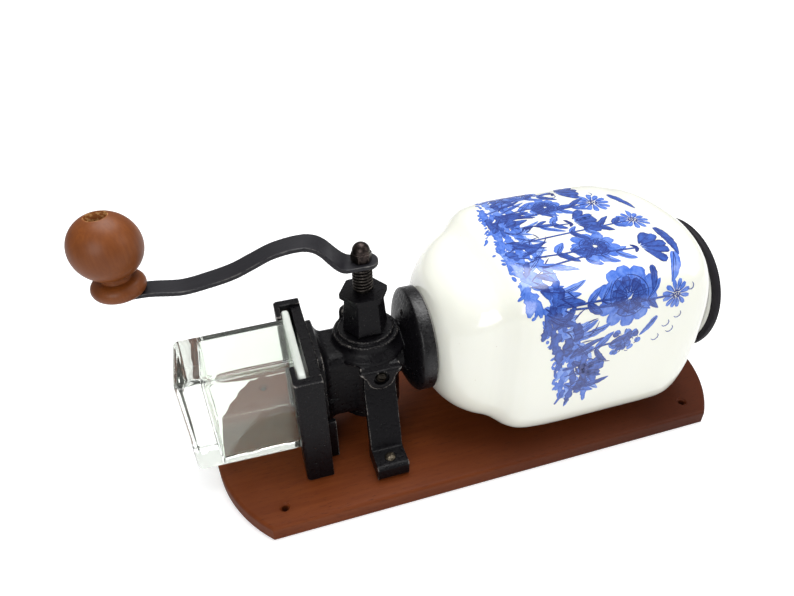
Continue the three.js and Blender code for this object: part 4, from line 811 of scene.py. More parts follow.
column = hexagons([[COLUMN_FOOT, COLUMN_FOOT / 2 * CORNER_SHARE, COLUMN_LOW],
                   [COLUMN_HEAD, COLUMN_HEAD / 2 * CORNER_SHARE, COLUMN_TOP]])
head = hexagons([[HEAD_ACROSS, HEAD_ACROSS / 2 * CORNER_SHARE, height] for height in (HEAD_LOW, HEAD_TOP)])
sleeve_rows = [[0, SLEEVE_LOW]]
for height in np.arange(SLEEVE_LOW, COLUMN_LOW - SLEEVE_PITCH, SLEEVE_PITCH):
    sleeve_rows += [[SLEEVE_RADIUS - SLEEVE_PITCH / 2, height], [SLEEVE_RADIUS, height + SLEEVE_PITCH / 2]]
sleeve_rows += [[SLEEVE_RADIUS - SLEEVE_PITCH / 2, COLUMN_LOW + FIT], [0, COLUMN_LOW + FIT]]
adjuster = cast(piece("adjuster", column, head, turned(sleeve_rows, 96), at=SPINDLE), ADJUSTER_VOXEL, 3)
carved(adjuster, peg(SHAFT_BORE, SLEEVE_LOW - CLEAR, HEAD_TOP + CLEAR, 48), at=SPINDLE)
mark_edges(adjuster)
fitted(adjuster, cast_enamel, "adjuster", "black_casting", "adjuster_sleeve")


# Pressure spring: one oil-blackened steel wire wound in seven and a half curls between the adjuster's
# head and the crank, each end running straight for one wire's width.

SPRING_WIRE, SPRING_RADIUS, SPRING_LENGTH = mm * np.array([1.4, 5.35, 17.2])
SPRING_TURNS = 7.5
SPRING_STEPS = 36


def unit(rows):
    """Each row over its own length."""
    return rows / np.linalg.norm(rows, axis=1)[:, None]


def tube(line, radius, sides=12):
    """A round wire along a line of points: each ring stands square to the line, with one side level."""
    along = unit(np.gradient(line, axis=0))
    across = unit(np.cross(along, [0, 0, 1]))
    over = np.cross(across, along)
    angle = circle(sides)[:, None]
    return line[:, None] + radius * (np.cos(angle) * across[:, None] + np.sin(angle) * over[:, None])


wound = np.linspace(0, 2 * np.pi * SPRING_TURNS, int(SPRING_TURNS * SPRING_STEPS) + 1)
rise = HEAD_TOP + FIT + SPRING_WIRE / 2 + (SPRING_LENGTH - SPRING_WIRE) * wound / wound[-1]
helix = points_of(SPRING_RADIUS * np.cos(wound), SPRING_RADIUS * np.sin(wound), rise)
lead = SPRING_WIRE * np.array([0, 1, 0])
helix = np.vstack([helix[:1] - lead, helix, helix[-1:] - lead])
spring = piece("spring_wound", tube(helix, SPRING_WIRE / 2), at=SPINDLE)
# Oil-blackened wire: dark grey with small black patches and a highlight along each curl
fitted(spring, steel("oil-blackened spring wire", "#4f4a46", "#211e1d", 0.36, 1 * mm), "carrier",
       "burr_steel", "pressure_spring")


# Crank: a flat steel strap punched to a round-ended outline and bent in an S, its bends slightly
# askew near the eye. Brushed over with thin black paint, which has rubbed off along its edges.

CRANK_LENGTH, CRANK_HUMP, CRANK_DIP, CRANK_RISE = mm * np.array([126.5, 18.4, 4, 6.3])
EYE_RADIUS, EYE_HALF, END_HALF, STRAP_EDGE, PIN_HOLE = mm * np.array([9.6, 8.3, 6.2, 0.45, 2.7])
LEAST_HALF, LEAST_INSIDE, STRAP_VOXEL = mm * np.array([0.6, 0.1, 0.4])
CRANK_SKEW = 0.42
ACROSS_STEPS = 15
# The strap's upper face from the spindle out: shares of the crank's length and of its hump
CRANK_SHARES = [[-0.08, 0], [0, 0], [0.06, 0], [0.092, 0.12], [0.125, 0.37], [0.157, 0.65], [0.19, 0.85],
                [0.228, 0.965], [0.27, 1], [0.33, 0.97], [0.4, 0.87], [0.48, 0.65], [0.56, 0.44], [0.66, 0.3]]

line = flowing([*(np.array(CRANK_SHARES) * [CRANK_LENGTH, CRANK_HUMP]), [0.77 * CRANK_LENGTH, CRANK_DIP],
                [0.9 * CRANK_LENGTH, CRANK_RISE], [CRANK_LENGTH + END_HALF, CRANK_RISE]], 24)
steep = unit(np.gradient(line, axis=0))
bend = np.linspace(0, np.pi / 2, 10)
stations = np.concatenate([EYE_RADIUS * np.cos(bend)[:-1], np.linspace(0, -CRANK_LENGTH, 150),
                           -CRANK_LENGTH - END_HALF * np.sin(bend[1:])])
eye = np.sqrt(np.clip(EYE_RADIUS ** 2 - stations ** 2, 0, None))
end = np.sqrt(np.clip(END_HALF ** 2 - (stations + CRANK_LENGTH) ** 2, 0, None))
straight = EYE_HALF + (END_HALF - EYE_HALF) * np.clip(-stations / CRANK_LENGTH, 0, 1)
half = np.where(stations > 0, np.minimum(eye, EYE_HALF), np.where(stations < -CRANK_LENGTH, end, straight))
half = np.maximum(half, LEAST_HALF)[:, None]
ease = STRAP_EDGE * (1 - np.sqrt(0.5))
inside = np.maximum(half - STRAP_EDGE, LEAST_INSIDE) * np.linspace(-1, 1, ACROSS_STEPS)
edge_y = np.hstack([half - ease, half, half, half - ease])
edge_depth = np.array([ease, STRAP_EDGE, CRANK_THICKNESS - STRAP_EDGE, CRANK_THICKNESS - ease])
y = np.hstack([inside, edge_y, inside[:, ::-1], -edge_y])
depth = np.concatenate([np.zeros(ACROSS_STEPS), edge_depth, np.full(ACROSS_STEPS, CRANK_THICKNESS),
                        edge_depth[::-1]])
x = np.broadcast_to(stations[:, None], y.shape)
out = -(x + CRANK_SKEW * -y * np.clip(1 + 2 * x / CRANK_LENGTH, 0, 1))
level, lean_x, lean_z = [np.interp(out, line[:, 0], run) for run in (line[:, 1], steep[:, 1], steep[:, 0])]
strap = points_of(x - lean_x * depth, y, CRANK_TOP + level - lean_z * depth)
crank = piece("crank_strap", strap, at=SPINDLE)
eye_half = SQUARE_HALF + FIT
eye_cut = slab(oblong(-eye_half, eye_half, -eye_half, eye_half), CRANK_LOW - CLEAR, CRANK_TOP + CLEAR)
KNOB_X = SPINDLE_X - CRANK_LENGTH
KNOB_BASE = CRANK_TOP + CRANK_RISE + FIT
carved(crank, moved(eye_cut, SPINDLE_X), moved(peg(PIN_HOLE, CRANK_TOP, KNOB_BASE + CLEAR), KNOB_X))
mark_edges(cast(crank, STRAP_VOXEL, 2))

# Thin black paint on rolled steel: streaks along X, scuffed gloss, and grey steel along rubbed edges
strap_paint, tree, shader, _, brushed, scuffs = material(
    "rolled steel strap, thin black paint", "#1f1e22", 0.42, (1.6 * mm, 3, 0.5, 0.12), (5 * mm, 4, 0.7, 1),
    Specular_IOR_Level=0.3)
worn = coats(tree, "#141317", (brushed, 0, 1, 1, "#232227"),
             (rubbed(tree, scuffs, 0.3, 1.5), 2.4, 6.0, 0.45, "#8a8782"))
surfaced(tree, shader, worn, (scuffs, 0, 1, 0.28, 0.55), (brushed, 0.2, 0.1 * mm))
fitted(crank, strap_paint, "crank", "black_strap", "crank_arm")


# Acorn nut: six-sided with a chamfered top and a domed cap, bronze-toned steel, screwed on the
# spindle's tip to hold the crank.

NUT_ACROSS, NUT_CHAMFER, NUT_BORE, DOME_RADIUS = mm * np.array([11, 0.7, 3.2, 5.2])
NUT_LOW = CRANK_TOP + FIT
NUT_HEX_TOP = NUT_LOW + 5 * mm
DOME_FOOT = NUT_HEX_TOP + 0.8 * mm
NUT_TIP = NUT_ACROSS / math.sqrt(3)
ROUND = 1.0

rows = [[ROUND, 0, TIP_TOP + FIT], [ROUND, NUT_BORE, TIP_TOP + FIT], [ROUND, NUT_BORE, NUT_LOW + 0.4 * mm],
        [ROUND, NUT_BORE + 0.4 * mm, NUT_LOW], [NUT_ACROSS, NUT_TIP - NUT_CHAMFER, NUT_LOW],
        [NUT_ACROSS, 0.985 * NUT_TIP, NUT_LOW + 0.5 * mm]]
rows += [[NUT_ACROSS, min(0.985 * NUT_TIP, NUT_TIP - NUT_CHAMFER * s ** 1.3),
          NUT_HEX_TOP - 1.4 * NUT_CHAMFER * (1 - s)] for s in np.linspace(0, 1, 5)]
rows += [[ROUND, DOME_RADIUS + 0.25 * mm, NUT_HEX_TOP + 0.05 * mm], [ROUND, DOME_RADIUS, NUT_HEX_TOP + FIT]]
rows += [[ROUND, max(DOME_RADIUS * math.cos(a), 0), DOME_FOOT + DOME_RADIUS * math.sin(a)]
         for a in np.linspace(0, np.pi / 2, 14)]
nut = piece("nut_domed", hexagons(rows), at=SPINDLE)
# Plated steel: dark brown-grey in broad patches, with highlights on the dome and the flats
fitted(nut, steel("bronze-toned plated steel", "#463d3a", "#2a2524", 0.3, 4 * mm), "crank",
       "burr_steel", "acorn_nut")


# Knob: a ball on a bead, turned in one piece from fruitwood and varnished, with a bare wooden recess
# in its top over the head of the riveted steel pin that it turns on.

BALL_RADIUS, BALL_HEIGHT, BEAD_RADIUS, BEAD_ROUND, BEAD_HEIGHT = mm * np.array([17.55, 26.4, 13.5, 4.6, 3.6])
KNOB_NECK, RECESS_RADIUS, RECESS_DEPTH, RECESS_LIP = mm * np.array([7.2, 5.2, 7.4, 0.5])
PIN_RADIUS, RECESS_FADE = mm * np.array([2.4, 0.8])
KNOB_PLACE = (KNOB_X, 0, KNOB_BASE)

start = -math.asin(BEAD_HEIGHT / BEAD_ROUND)
profile = [[0, 0]]
for a in np.linspace(start, np.pi / 2, 20):
    profile.append([BEAD_RADIUS - BEAD_ROUND + BEAD_ROUND * math.cos(a),
                    BEAD_HEIGHT + BEAD_ROUND * math.sin(a)])
profile[1][1] = 0
low_angle = -math.acos(KNOB_NECK / BALL_RADIUS)
top_angle = math.acos((RECESS_RADIUS + RECESS_LIP) / BALL_RADIUS)
neck_top = BALL_HEIGHT + BALL_RADIUS * math.sin(low_angle)
profile += [[KNOB_NECK + 0.4 * mm, profile[-1][1]], [KNOB_NECK, (profile[-1][1] + neck_top) / 2]]
for a in np.linspace(low_angle, top_angle, 56):
    profile.append([BALL_RADIUS * math.cos(a), BALL_HEIGHT + BALL_RADIUS * math.sin(a)])
rim = profile[-1][1]
recess_floor = rim - RECESS_DEPTH
profile += [[RECESS_RADIUS + 0.12 * mm, rim + 0.05 * mm], [RECESS_RADIUS, rim - RECESS_LIP],
            [RECESS_RADIUS, recess_floor], [0, recess_floor]]
knob = piece("knob_ball", turned(profile, 128), at=KNOB_PLACE)
carved(knob, peg(PIN_RADIUS + FIT, -CLEAR, recess_floor + CLEAR), at=KNOB_PLACE)

# Varnished fruitwood: fibres 1.3 mm apart that run up the knob a little aslant, darker bands every
# 8 mm, and paler, chipped bare wood inside the recess. That wood is made paler still as painted light
# against the shade that falls in the recess, and its pale chips are partly a painted highlight along
# the rim. Low satin gloss under a thin clear coat.
knob_wood, tree, shader, place, chips_and_glints = material(
    "turned fruitwood, varnished", "#78401a", 0.45, (1.4 * mm, 2, 0.5, 1), Specular_IOR_Level=0.3,
    Coat_Weight=0.04, Coat_Roughness=0.25)
centred = add(tree, "Mapping", {"Vector": place, "Location": (-KNOB_X, 0, -KNOB_BASE),
                                "Rotation": (math.radians(8), math.radians(5), 0)})
upward = add(tree, "Mapping", {"Vector": centred, "Scale": (1, 1, 0.07)})
fibre = add(tree, "TexNoise", {"Vector": upward, "Scale": 1 / (1.3 * mm), "Detail": 3.0, "Roughness": 0.6})
bands = add(tree, "TexNoise", {"Vector": upward, "Scale": 1 / (8 * mm), "Detail": 2.0})
level_place = add(tree, "Mapping", {"Vector": place, "Location": (-KNOB_X, 0, 0), "Scale": (1, 1, 0)})
from_axis = add(tree, "VectorMath", {0: level_place}, "Value", operation="LENGTH")
# Painted light: the recess's bare wood is made pale to lift the shade inside it, and its pale chips partly
# stand in for broken highlights on the rim
bare_wood_lightened = coats(tree, "#94592c", (chips_and_glints, 0.5, 0.58, 1, "#cb9a63"))
finished = coats(tree, "#733c14", (fibre, 0.35, 0.7, 1, "#7e4419"), (bands, 0.4, 0.65, 0.55, "#653312"),
                 (from_axis, RECESS_RADIUS + RECESS_FADE, RECESS_RADIUS, 0.85, bare_wood_lightened))
surfaced(tree, shader, finished, relief=(fibre, 0.1, 0.2 * mm))
fitted(knob, knob_wood, "knob", "knob_wood", "knob")

under = -0.6 * mm - CRANK_THICKNESS
PIN_FOOT = mm * np.array([[0, -0.7], [2.6, -0.7], [3.6, -0.55], [4.2, 0], [2.4, 0]])
PIN_HEAD = mm * np.array([[2.4, 0], [4.4, 0], [4.4, 1.2], [4.0, 1.8], [3.0, 2.3], [0, 2.4]])
pin = piece("pin_riveted", turned(np.vstack([PIN_FOOT + [0, under], PIN_HEAD + [0, recess_floor + FIT]]), 48),
            at=KNOB_PLACE)
# Riveted steel: dull grey, darker in small spots
fitted(pin, steel("riveted pin steel", "#5b554d", "#322d29", 0.4, 1.5 * mm), "crank", "screw_steel",
       "knob_pin")


# Fittings between the funnel and the jar: a rubber gasket, and inside the jar's floor a steel ring
# that three screws pull toward the funnel.

def seal_rubber(name, colour):
    """Matt rubber with a fine moulded skin."""
    made, tree, shader, _, skin = material(name, colour, 0.85, (0.8 * mm, 2, 0.5, 1))
    surfaced(tree, shader, gloss=(skin, 0, 1, 0.75, 0.95), relief=(skin, 0.3, 0.05 * mm))
    return made


def on_jar_axis(grid):
    """A form made about Z, laid on the jar's axis with zero at the funnel's face."""
    return moved(laid(grid), -FUNNEL_FACE, 0, JAR_AXIS)


GASKET = mm * np.array([[24.5, 0.3], [30.0, 0.3], [30.2, 0.5], [30.2, 1.0], [30.0, 1.2], [24.5, 1.2]])
CLAMP = mm * np.array([[14.2, 7.8], [25.2, 7.8], [25.5, 8.1], [25.5, 9.9], [25.2, 10.2], [14.2, 10.2]])
CLAMP_TOP, CLAMP_CUT_LOW, CLAMP_CUT_HIGH = mm * np.array([10.5, 7, 12])

# Both rubbers are matt with a fine grain: the gasket's is mid grey and the lid seal's dark grey
gasket = piece("gasket", on_jar_axis(turned(GASKET, 120)), ring=True)
fitted(gasket, seal_rubber("grey rubber gasket", "#8b8a86"), "stand", "seal_rubber", "hopper_gasket")
clamp = piece("clamp", on_jar_axis(turned(CLAMP, 96)), ring=True)
carved(clamp, *[moved(on_jar_axis(peg(SCREW_HOLE, CLAMP_CUT_LOW, CLAMP_CUT_HIGH)), 0, y, z)
                for y, z in clamp_places])
fitted(clamp, washer_steel, "stand", "screw_steel", "clamp_ring")
for i, (y, z) in enumerate(clamp_places, 1):
    screw("clamp_screw_turned_%d" % i, "clamp_screw_%d" % i, (1.9, 18.8, 3.3, 2.1),
          lambda grid: moved(on_jar_axis(moved(grid, z=CLAMP_TOP)), 0, y, z), finish=oxide_steel)


# Bean jar: white-glazed earthenware, slip-cast. Round at its floor, it swells over a shallow waist
# into a nearly square body that leans a little off its axis, and rounds again to its mouth.

JAR_LOW, JAR_LENGTH, JAR_HALF, JAR_LEAN, JAR_SWAY = mm * np.array([1.5, 183, 60.9, 1.6, 2.75])
JAR_WALL, JAR_FLOOR, JAR_FLOOR_HOLE, JAR_MOUTH = mm * np.array([5, 6, 13.5, 38])
JAR_WIDE = 64.75 / 60.9 - 1
JAR_SQUARE = 1.4
JAR_LIP = 0.701
JAR_SIDES = 200
# Shares of the jar's length and half size, how square the section is and how far it is thrown off the
# axis, from floor to mouth; the throw follows the squareness where it isn't given
JAR_SHARES = [[0, 0.49, 0], [0.012, 0.6, 0.05], [0.03, 0.675, 0.12], [0.062, 0.745, 0.27],
              [0.105, 0.795, 0.48], [0.143, 0.822, 0.64], [0.166, 0.845, 0.74], [0.188, 0.882, 0.83],
              [0.214, 0.93, 0.91], [0.252, 0.97, 0.97], [0.312, 0.99, 1], [0.42, 1, 1], [0.6, 1, 1],
              [0.75, 1, 1], [0.83, 0.982, 0.86, 0.65], [0.893, 0.95, 0.44, 1.1],
              [0.946, 0.848, 0.11, 1.85], [0.982, 0.732, 0.03, 0.6], [1, JAR_LIP, 0]]
SQUAREST = [[0.5, 1, 1, 1]]


def jar_rings(rows, angle, inset):
    """Rings of the jar from rows of [share of length, share of half size, squareness, throw], drawn in
    by inset: between a circle and a superellipse, thrown off the axis by the jar's lean and sway."""
    place, share, square, throw = np.array(rows, dtype=float).T[:, :, None]
    power = 1 / (1 + JAR_SQUARE * square)
    cos, sin = np.cos(angle), np.sin(angle)
    up = (JAR_HALF * share - inset) * np.sign(cos) * np.abs(cos) ** power + JAR_LEAN * throw
    across = (JAR_HALF * share * (1 + JAR_WIDE * square) - inset) * np.sign(sin) * np.abs(sin) ** power
    x = JAR_LOW + JAR_LENGTH * place
    return points_of(x - FUNNEL_FACE, across + JAR_SWAY * throw, up + JAR_AXIS)


def way(points):
    """How far each point of a line is from its start, along the line."""
    return np.concatenate([[0], np.cumsum(np.linalg.norm(np.diff(points, axis=0), axis=1))])


def circle_row(x, radius):
    """A round ring of the jar at x from the funnel's face, with the jar's own angles."""
    return points_of(x - FUNNEL_FACE, radius * np.sin(jar_angles), JAR_AXIS + radius * np.cos(jar_angles))


# Half way between even angles and even steps round the squarest ring, so that its corners are fine
fine = np.linspace(0, 2 * np.pi, 4001)
ring_way = way(jar_rings(SQUAREST, fine, 0)[0])
even_way = np.linspace(0, ring_way[-1], JAR_SIDES, endpoint=False)
jar_angles = (np.interp(even_way, ring_way, fine) + circle(JAR_SIDES)) / 2
outer = flowing([[*row[:3], row[-1]] for row in JAR_SHARES], 7)
inner = outer[(outer[:, 0] > 0.075) & (outer[:, 0] < 0.91)]
jar_top, floor_top = JAR_LOW + JAR_LENGTH, JAR_LOW + JAR_FLOOR
lip_out = JAR_HALF * JAR_LIP
lip_middle, lip_half = (lip_out + JAR_MOUTH) / 2, (lip_out - JAR_MOUTH) / 2
rows = [circle_row(JAR_LOW, radius) for radius in (JAR_FLOOR_HOLE, 20 * mm, 27 * mm)]
rows += list(jar_rings(outer, jar_angles, 0))
rows += [circle_row(jar_top, lip_middle + lip_half * share) for share in (0.5, 0.0, -0.6)]
rows += [circle_row(jar_top - down * mm, JAR_MOUTH + out * mm)
         for down, out in ((0.3, 0.15), (1, 0), (9.3, 0), (10.5, 1.5))]
rows += list(jar_rings(inner, jar_angles, JAR_WALL)[::-1])
rows += [circle_row(floor_top + up * mm, radius * mm)
         for up, radius in ((1.2, 35), (0, 31), (0, 22), (0, 13.5))]
jar = piece("jar", np.array(rows), ring=True)
carved(jar, *[moved(on_jar_axis(peg(SCREW_HOLE, JAR_LOW - CLEAR, floor_top + CLEAR)), 0, y, z)
              for y, z in clamp_places])

# Ivory-white tin glaze: pooled a little thicker in places, faint pinholes, and a wet clear gloss
glaze, tree, shader, place, pool, peel = material(
    "glazed earthenware, ivory white", "#f3f3ea", 0.16, (45 * mm, 2, 0.5, 1), (5 * mm, 1, 0.5, 1),
    Coat_Weight=0.6, Coat_Roughness=0.06, Subsurface_Weight=0.08, Subsurface_Scale=3 * mm,
    Subsurface_Radius=(1.0, 0.9, 0.7))
specks = add(tree, "TexVoronoi", {"Vector": place, "Scale": 1 / (9 * mm), "Randomness": 1.0})
glazed = coats(tree, "#f3f4e6", (pool, 0, 1, 1, "#f7f8ee"), (specks, 0.035, 0.02, 0.5, "#b9a98d"))
surfaced(tree, shader, glazed, relief=(peel, 0.12, 0.25 * mm))
fitted(jar, glaze, "stand", "jar_glaze", "ceramic_hopper")


# Printed picture on the jar: a bed of leaves along its lower edge with flowers that stand over it, in
# three cobalt blues, of this builder's own drawing. Each brush stroke is a thin skin of colour that
# lies on the glaze and is fired with it; where it pools along a stroke's rim it is darker.

PRINT_LIFT = 0.1 * mm
PRINT_SINK = 0.1 * mm
PRINT_TURN = math.radians(25.1)
STROKE_STEP = 1.3
PALE, WASH, DEEP, INK = 0.1, 0.38, 0.76, 1.05
# The bed's edge toward the funnel, as [run round the jar, place along it], both in millimetres
BED_EDGE = np.array([[-14, 30], [0, 21], [16, 17], [45, 11], [71, 9], [90, 9], [110, 13], [131, 22],
                     [175, 33]])

drawn = np.random.default_rng(11)
around_turn = np.linspace(-1, 5, 4001)
around_run = way(jar_rings(SQUAREST, PRINT_TURN - around_turn, 0)[0])
around_run -= np.interp(0, around_turn, around_run)
skins, pigments = [], []


def on_jar(x, v, lift):
    """Points on the jar for a flat drawing: x along the jar, v round it from its far top corner."""
    place = (x + FUNNEL_FACE - JAR_LOW) / JAR_LENGTH
    rows = np.stack([np.interp(place, outer[:, 0], outer[:, k]) for k in range(4)], axis=-1)
    turn = PRINT_TURN - np.interp(v, around_run, around_turn)
    return jar_rings(rows, turn[:, None], -lift)[:, 0]


def stroke(points, width, pigment, blunt=0.5, sharp=0.5, ragged=0.0):
    """A brush stroke through [x, v] points in millimetres. Its half width at the share s of its length
    is width / 2 * s^blunt * (1 - s)^sharp, set to be width / 2 at its widest, with ragged sides."""
    line = flowing(points, 12)
    reach = way(line)
    count = int(np.clip(reach[-1] / STROKE_STEP, 5, 22))
    even = np.linspace(0, reach[-1], count)
    line = np.stack([np.interp(even, reach, line[:, k]) for k in (0, 1)], axis=-1)
    along = unit(np.gradient(line, axis=0))
    s = np.linspace(0.02, 0.98, count)
    swell = s ** blunt * (1 - s) ** sharp
    half = width / 2 * swell / swell.max()
    columns = np.linspace(-1, 1, 5 if width > 2.2 else 3)
    wander = 1 + ragged * drawn.uniform(-1, 1, (count, 2))
    side = half[:, None] * np.where(columns < 0, wander[:, :1], wander[:, 1:]) * columns
    flat = line[:, None] + side[..., None] * np.stack([-along[:, 1], along[:, 0]], axis=-1)[:, None]
    x, v = flat[..., 0].ravel() * mm, flat[..., 1].ravel() * mm
    top, under = [on_jar(x, v, lift).reshape(count, len(columns), 3)
                  for lift in (PRINT_LIFT * (1 + 0.6 * pigment), -PRINT_SINK)]
    skins.append(np.concatenate([top, under[:, ::-1]], axis=1))
    tint = pigment + 0.2 * (np.abs(columns) > 0.9) + drawn.normal(0, 0.03)
    pigments.append(np.broadcast_to(np.concatenate([tint, tint[::-1]]), (count, 2 * len(columns))).ravel())


def curve(x, v, length, heading, bend, steps=4):
    """Points from [x, v] along a heading, in degrees from the jar's axis, that turns by bend on the way."""
    turn = np.radians(heading + bend * np.linspace(0, 1, steps))
    step = np.stack([np.cos(turn), np.sin(turn)], axis=-1) * length / (steps - 1)
    return np.array([x, v]) + np.vstack([[0, 0], np.cumsum((step[1:] + step[:-1]) / 2, axis=0)])


def leaf(x, v, length, heading, width, pigment=WASH, bend=25):
    """A leaf: a wash, its vein and a broken outline down one side."""
    line = curve(x, v, length, heading, bend)
    stroke(line, width, pigment, 0.45, 0.75, 0.12)
    stroke(line[:-1], 0.5, INK, 0.2, 0.6)
    lean = math.degrees(width / length)
    stroke(curve(x, v, length * 0.96, heading + lean, bend - 2 * lean), 0.45, INK, 0.2, 0.4, 0.3)


def petals(x, v, radius, count, width, pigment, start=0, spread=360):
    """Petals that stand out from one point, each with a fine line beside it."""
    for heading in start + spread * (np.arange(count) + 0.5) / count:
        out = np.radians(heading)
        foot = (x + 0.22 * radius * np.cos(out), v + 0.22 * radius * np.sin(out))
        reach = radius * drawn.uniform(0.72, 0.86)
        stroke(curve(*foot, reach, heading, drawn.uniform(-14, 14)), width, pigment, 0.9, 0.35, 0.08)
        stroke(curve(*foot, reach * 0.7, heading + 9, 6), 0.42, INK, 0.2, 0.8)


def whorl(x, v, radius, turns, pigment, width):
    """Arcs that run round a point, one outside the other."""
    for k in range(turns):
        start = drawn.uniform(0, 360)
        for part in (0, 125, 245):
            stroke(arc(x, v, radius * (k + 0.7) / turns, start + part, start + part + 100, 5), width, pigment,
                   0.4, 0.4)


def bloom(kind, x, v, size):
    """A flower's head: a daisy, a bell seen from its side, a rose of four rings, or a head of berries."""
    if kind == "daisy":
        petals(x, v, size, 12, size * 0.32, WASH)
        whorl(x, v, size * 0.28, 2, INK, 1.2)
    elif kind == "bell":
        petals(x - size / 2, v, size * 1.3, 5, size * 0.44, DEEP, -54, 108)
        petals(x - size / 2, v, size * 0.9, 3, size * 0.3, PALE, -30, 60)
        stroke(np.array([x, v]) + size * np.array([[-0.7, -0.25], [-0.52, 0], [-0.7, 0.25]]), 2.4, INK)
    elif kind == "rose":
        for ring, (share, pigment) in enumerate(((1, WASH), (0.8, PALE), (0.6, DEEP), (0.38, PALE))):
            petals(x, v, size * share, 10, size * share * 0.48, pigment, 17 * ring)
        whorl(x, v, size * 0.7, 4, INK, 0.55)
    else:
        for k in range(int(size * 4)):
            spot = drawn.normal(0, size * 0.42, 2) + [x, v]
            stroke(curve(*spot, 4.4, drawn.uniform(0, 360), 60), 3.8, drawn.choice([WASH, WASH, DEEP]),
                   0.4, 0.4, 0.2)
            stroke(curve(*(spot + 1), 3.4, drawn.uniform(0, 360), 120), 0.42, INK, 0.3, 0.3)


# The bed: broad washes along its edge, then leaves, blades and dabs that grow out of it
for v in np.arange(-12, 174, 4.5):
    edge_x = np.interp(v, *BED_EDGE.T) + drawn.uniform(0, 4)
    for k in range(3):
        stroke(curve(edge_x + 6.5 * k + drawn.uniform(-2, 2), v, drawn.uniform(9, 15),
                     drawn.uniform(68, 110), 12),
               drawn.uniform(3, 6), drawn.choice([PALE, WASH, WASH, DEEP]), 0.3, 0.5, 0.4)
for v in np.arange(-12, 174, 3.4):
    edge_x = np.interp(v, *BED_EDGE.T)
    leaf(edge_x + drawn.uniform(2, 14), v, drawn.uniform(11, 24), drawn.uniform(-50, 50),
         drawn.uniform(3, 5.5), drawn.choice([PALE, WASH, DEEP]), drawn.uniform(-40, 40))
    stroke(curve(edge_x + drawn.uniform(0, 24), v, drawn.uniform(6, 13), drawn.uniform(-60, 60),
                 drawn.uniform(-40, 40)), 0.9, INK, 0.3, 0.9, 0.2)
    stroke(curve(edge_x - drawn.uniform(0, 4), v, drawn.uniform(2, 5), drawn.uniform(40, 140), 20), 1.9, WASH,
           0.4, 0.4)

# Flowers on stalks with leaves in pairs: [kind, place along the jar, run round it, size]
FLOWERS = [("daisy", 54, -2, 10), ("bell", 80, 6, 13), ("rose", 58, 24, 12), ("daisy", 90, 28, 11),
           ("bell", 70, 48, 14), ("daisy", 101, 56, 10), ("rose", 62, 76, 14), ("bell", 92, 84, 14),
           ("rose", 68, 113, 19), ("daisy", 99, 118, 9), ("berries", 68, 143, 9), ("bell", 50, 160, 10),
           ("berries", 46, 172, 4)]
for kind, x, v, size in FLOWERS:
    foot_x, foot_v = np.interp(v, *BED_EDGE.T) + 14, v + drawn.uniform(-5, 5)
    line = np.array([[foot_x, foot_v], [(foot_x + x) / 2, v + drawn.uniform(-3, 3)], [x - size * 0.5, v]])
    stroke(line, 1.4, DEEP, 0.1, 0.1)
    stroke(line + [0, 0.5], 0.4, INK, 0.2, 0.2)
    for share in np.arange(0.45, 0.9, 11 / (x - foot_x)):
        at = line[0] + (line[2] - line[0]) * share
        for side in (-1, 1):
            leaf(*at, drawn.uniform(9, 17), side * drawn.uniform(28, 62), drawn.uniform(3.4, 5.4),
                 drawn.choice([WASH, DEEP]), -side * drawn.uniform(5, 35))
    bloom(kind, x, v, size)

# Loose leaves and curls that drift over the flowers
for x, v, length, heading, width in ((106, 20, 22, 62, 6), (108, 68, 27, 84, 6.5), (104, 92, 20, 104, 6),
                                     (86, 98, 15, 92, 4.5), (88, 130, 15, 118, 4), (38, 180, 8, 90, 3)):
    leaf(x, v, length, heading, width, drawn.choice([WASH, DEEP]), 20)
for x, v in ((104, 130), (97, 135), (101, 140), (92, 144), (72, 8), (96, 14), (110, 112)):
    stroke(curve(x, v, 9, 40, 200, 7), 0.6, DEEP, 0.3, 0.3)

picture = piece("jar_picture", *skins, merged=False)
pigment = np.concatenate(pigments).astype(np.float32)
picture.data.attributes.new("pigment", "FLOAT", "POINT").data.foreach_set("value", pigment)

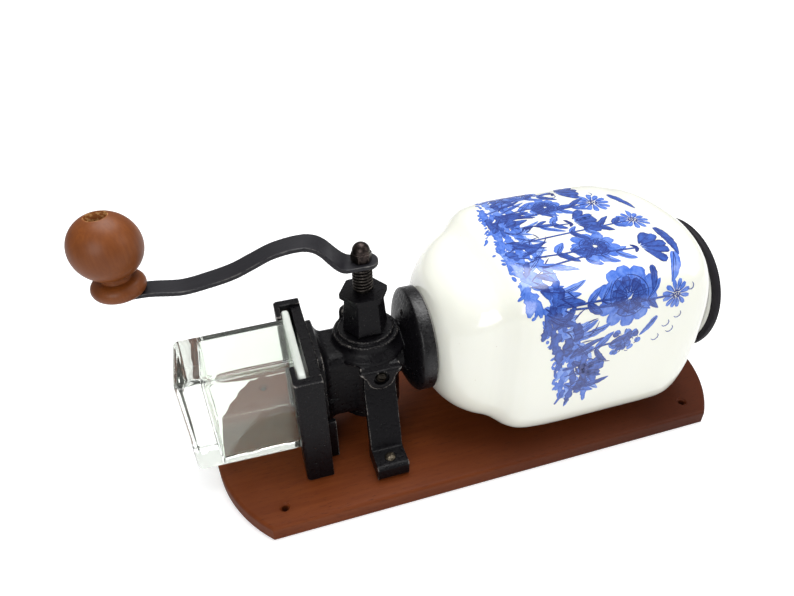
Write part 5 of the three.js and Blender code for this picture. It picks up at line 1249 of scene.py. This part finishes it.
# Cobalt under a clear glaze: the pigment attribute picks one of three blues, clouded by the brush
cobalt, tree, shader, _, clouds = material(
    "cobalt brushwork under glaze", "#4169c8", 0.2, (3.2 * mm, 3, 0.6, 1), Coat_Weight=0.6,
    Coat_Roughness=0.06)
pigment_here = add(tree, "Attribute", out="Fac", attribute_name="pigment")
clouding = add(tree, "MapRange", {"Value": clouds, "From Min": 0.3, "From Max": 0.7, "To Min": -0.16,
                                  "To Max": 0.16})
shade = add(tree, "Math", {0: pigment_here, 1: clouding}, operation="ADD")
surfaced(tree, shader, coats(tree, "#86a6ec", (shade, 0, 0.5, 1, "#4470d2"), (shade, 0.5, 1, 1, "#22357f")))
fitted(picture, cobalt, "stand", "jar_glaze")


# Lid: a low crowned disc of black moulded plastic with a ring-shaped spigot, and a rubber seal that
# grips the jar's mouth.

LID = mm * np.array([[0, 0.3], [33.0, 0.3], [33.4, -0.1], [33.4, -8.4], [33.7, -8.7], [36.1, -8.7],
                     [36.4, -8.4], [36.4, 0.3], [45.4, 0.3], [46.1, 0.6], [46.4, 1.3], [46.4, 3.2]])
LID_CROWN = mm * np.array([[46.4, 3.2], [46.1, 3.9], [45.4, 4.2], [34.8, 4.4], [23.2, 5.9], [11, 6.45],
                           [0, 6.6]])
LID_SEAL = mm * np.array([[36.7, -6.0], [37.4, -6.0], [37.6, -5.6], [37.6, -0.4], [37.4, 0], [36.7, 0]])

lid_rows = np.vstack([LID, flowing(LID_CROWN, 5)[1:]])
lid = piece("lid_cap", on_jar_axis(moved(turned(lid_rows, 160), z=jar_top)))
# Satin black plastic: a fine grain, and patches where handling has dulled or shined it
lid_black, tree, shader, _, grain, dull = material(
    "moulded plastic, satin black", "#201e22", 0.5, (0.9 * mm, 2, 0.5, 1), (14 * mm, 3, 0.5, 1),
    Specular_IOR_Level=0.1)
surfaced(tree, shader, coats(tree, "#1e1c20", (dull, 0, 1, 1, "#272529")), (dull, 0, 1, 0.42, 0.62),
         (grain, 0.12, 0.06 * mm))
fitted(lid, lid_black, "lid", "lid_plastic", "hopper_lid")
lid_ring = piece("lid_ring", on_jar_axis(moved(turned(LID_SEAL, 120), z=jar_top)), ring=True)
fitted(lid_ring, seal_rubber("black rubber seal", "#39383a"), "lid", "seal_rubber", "lid_seal")
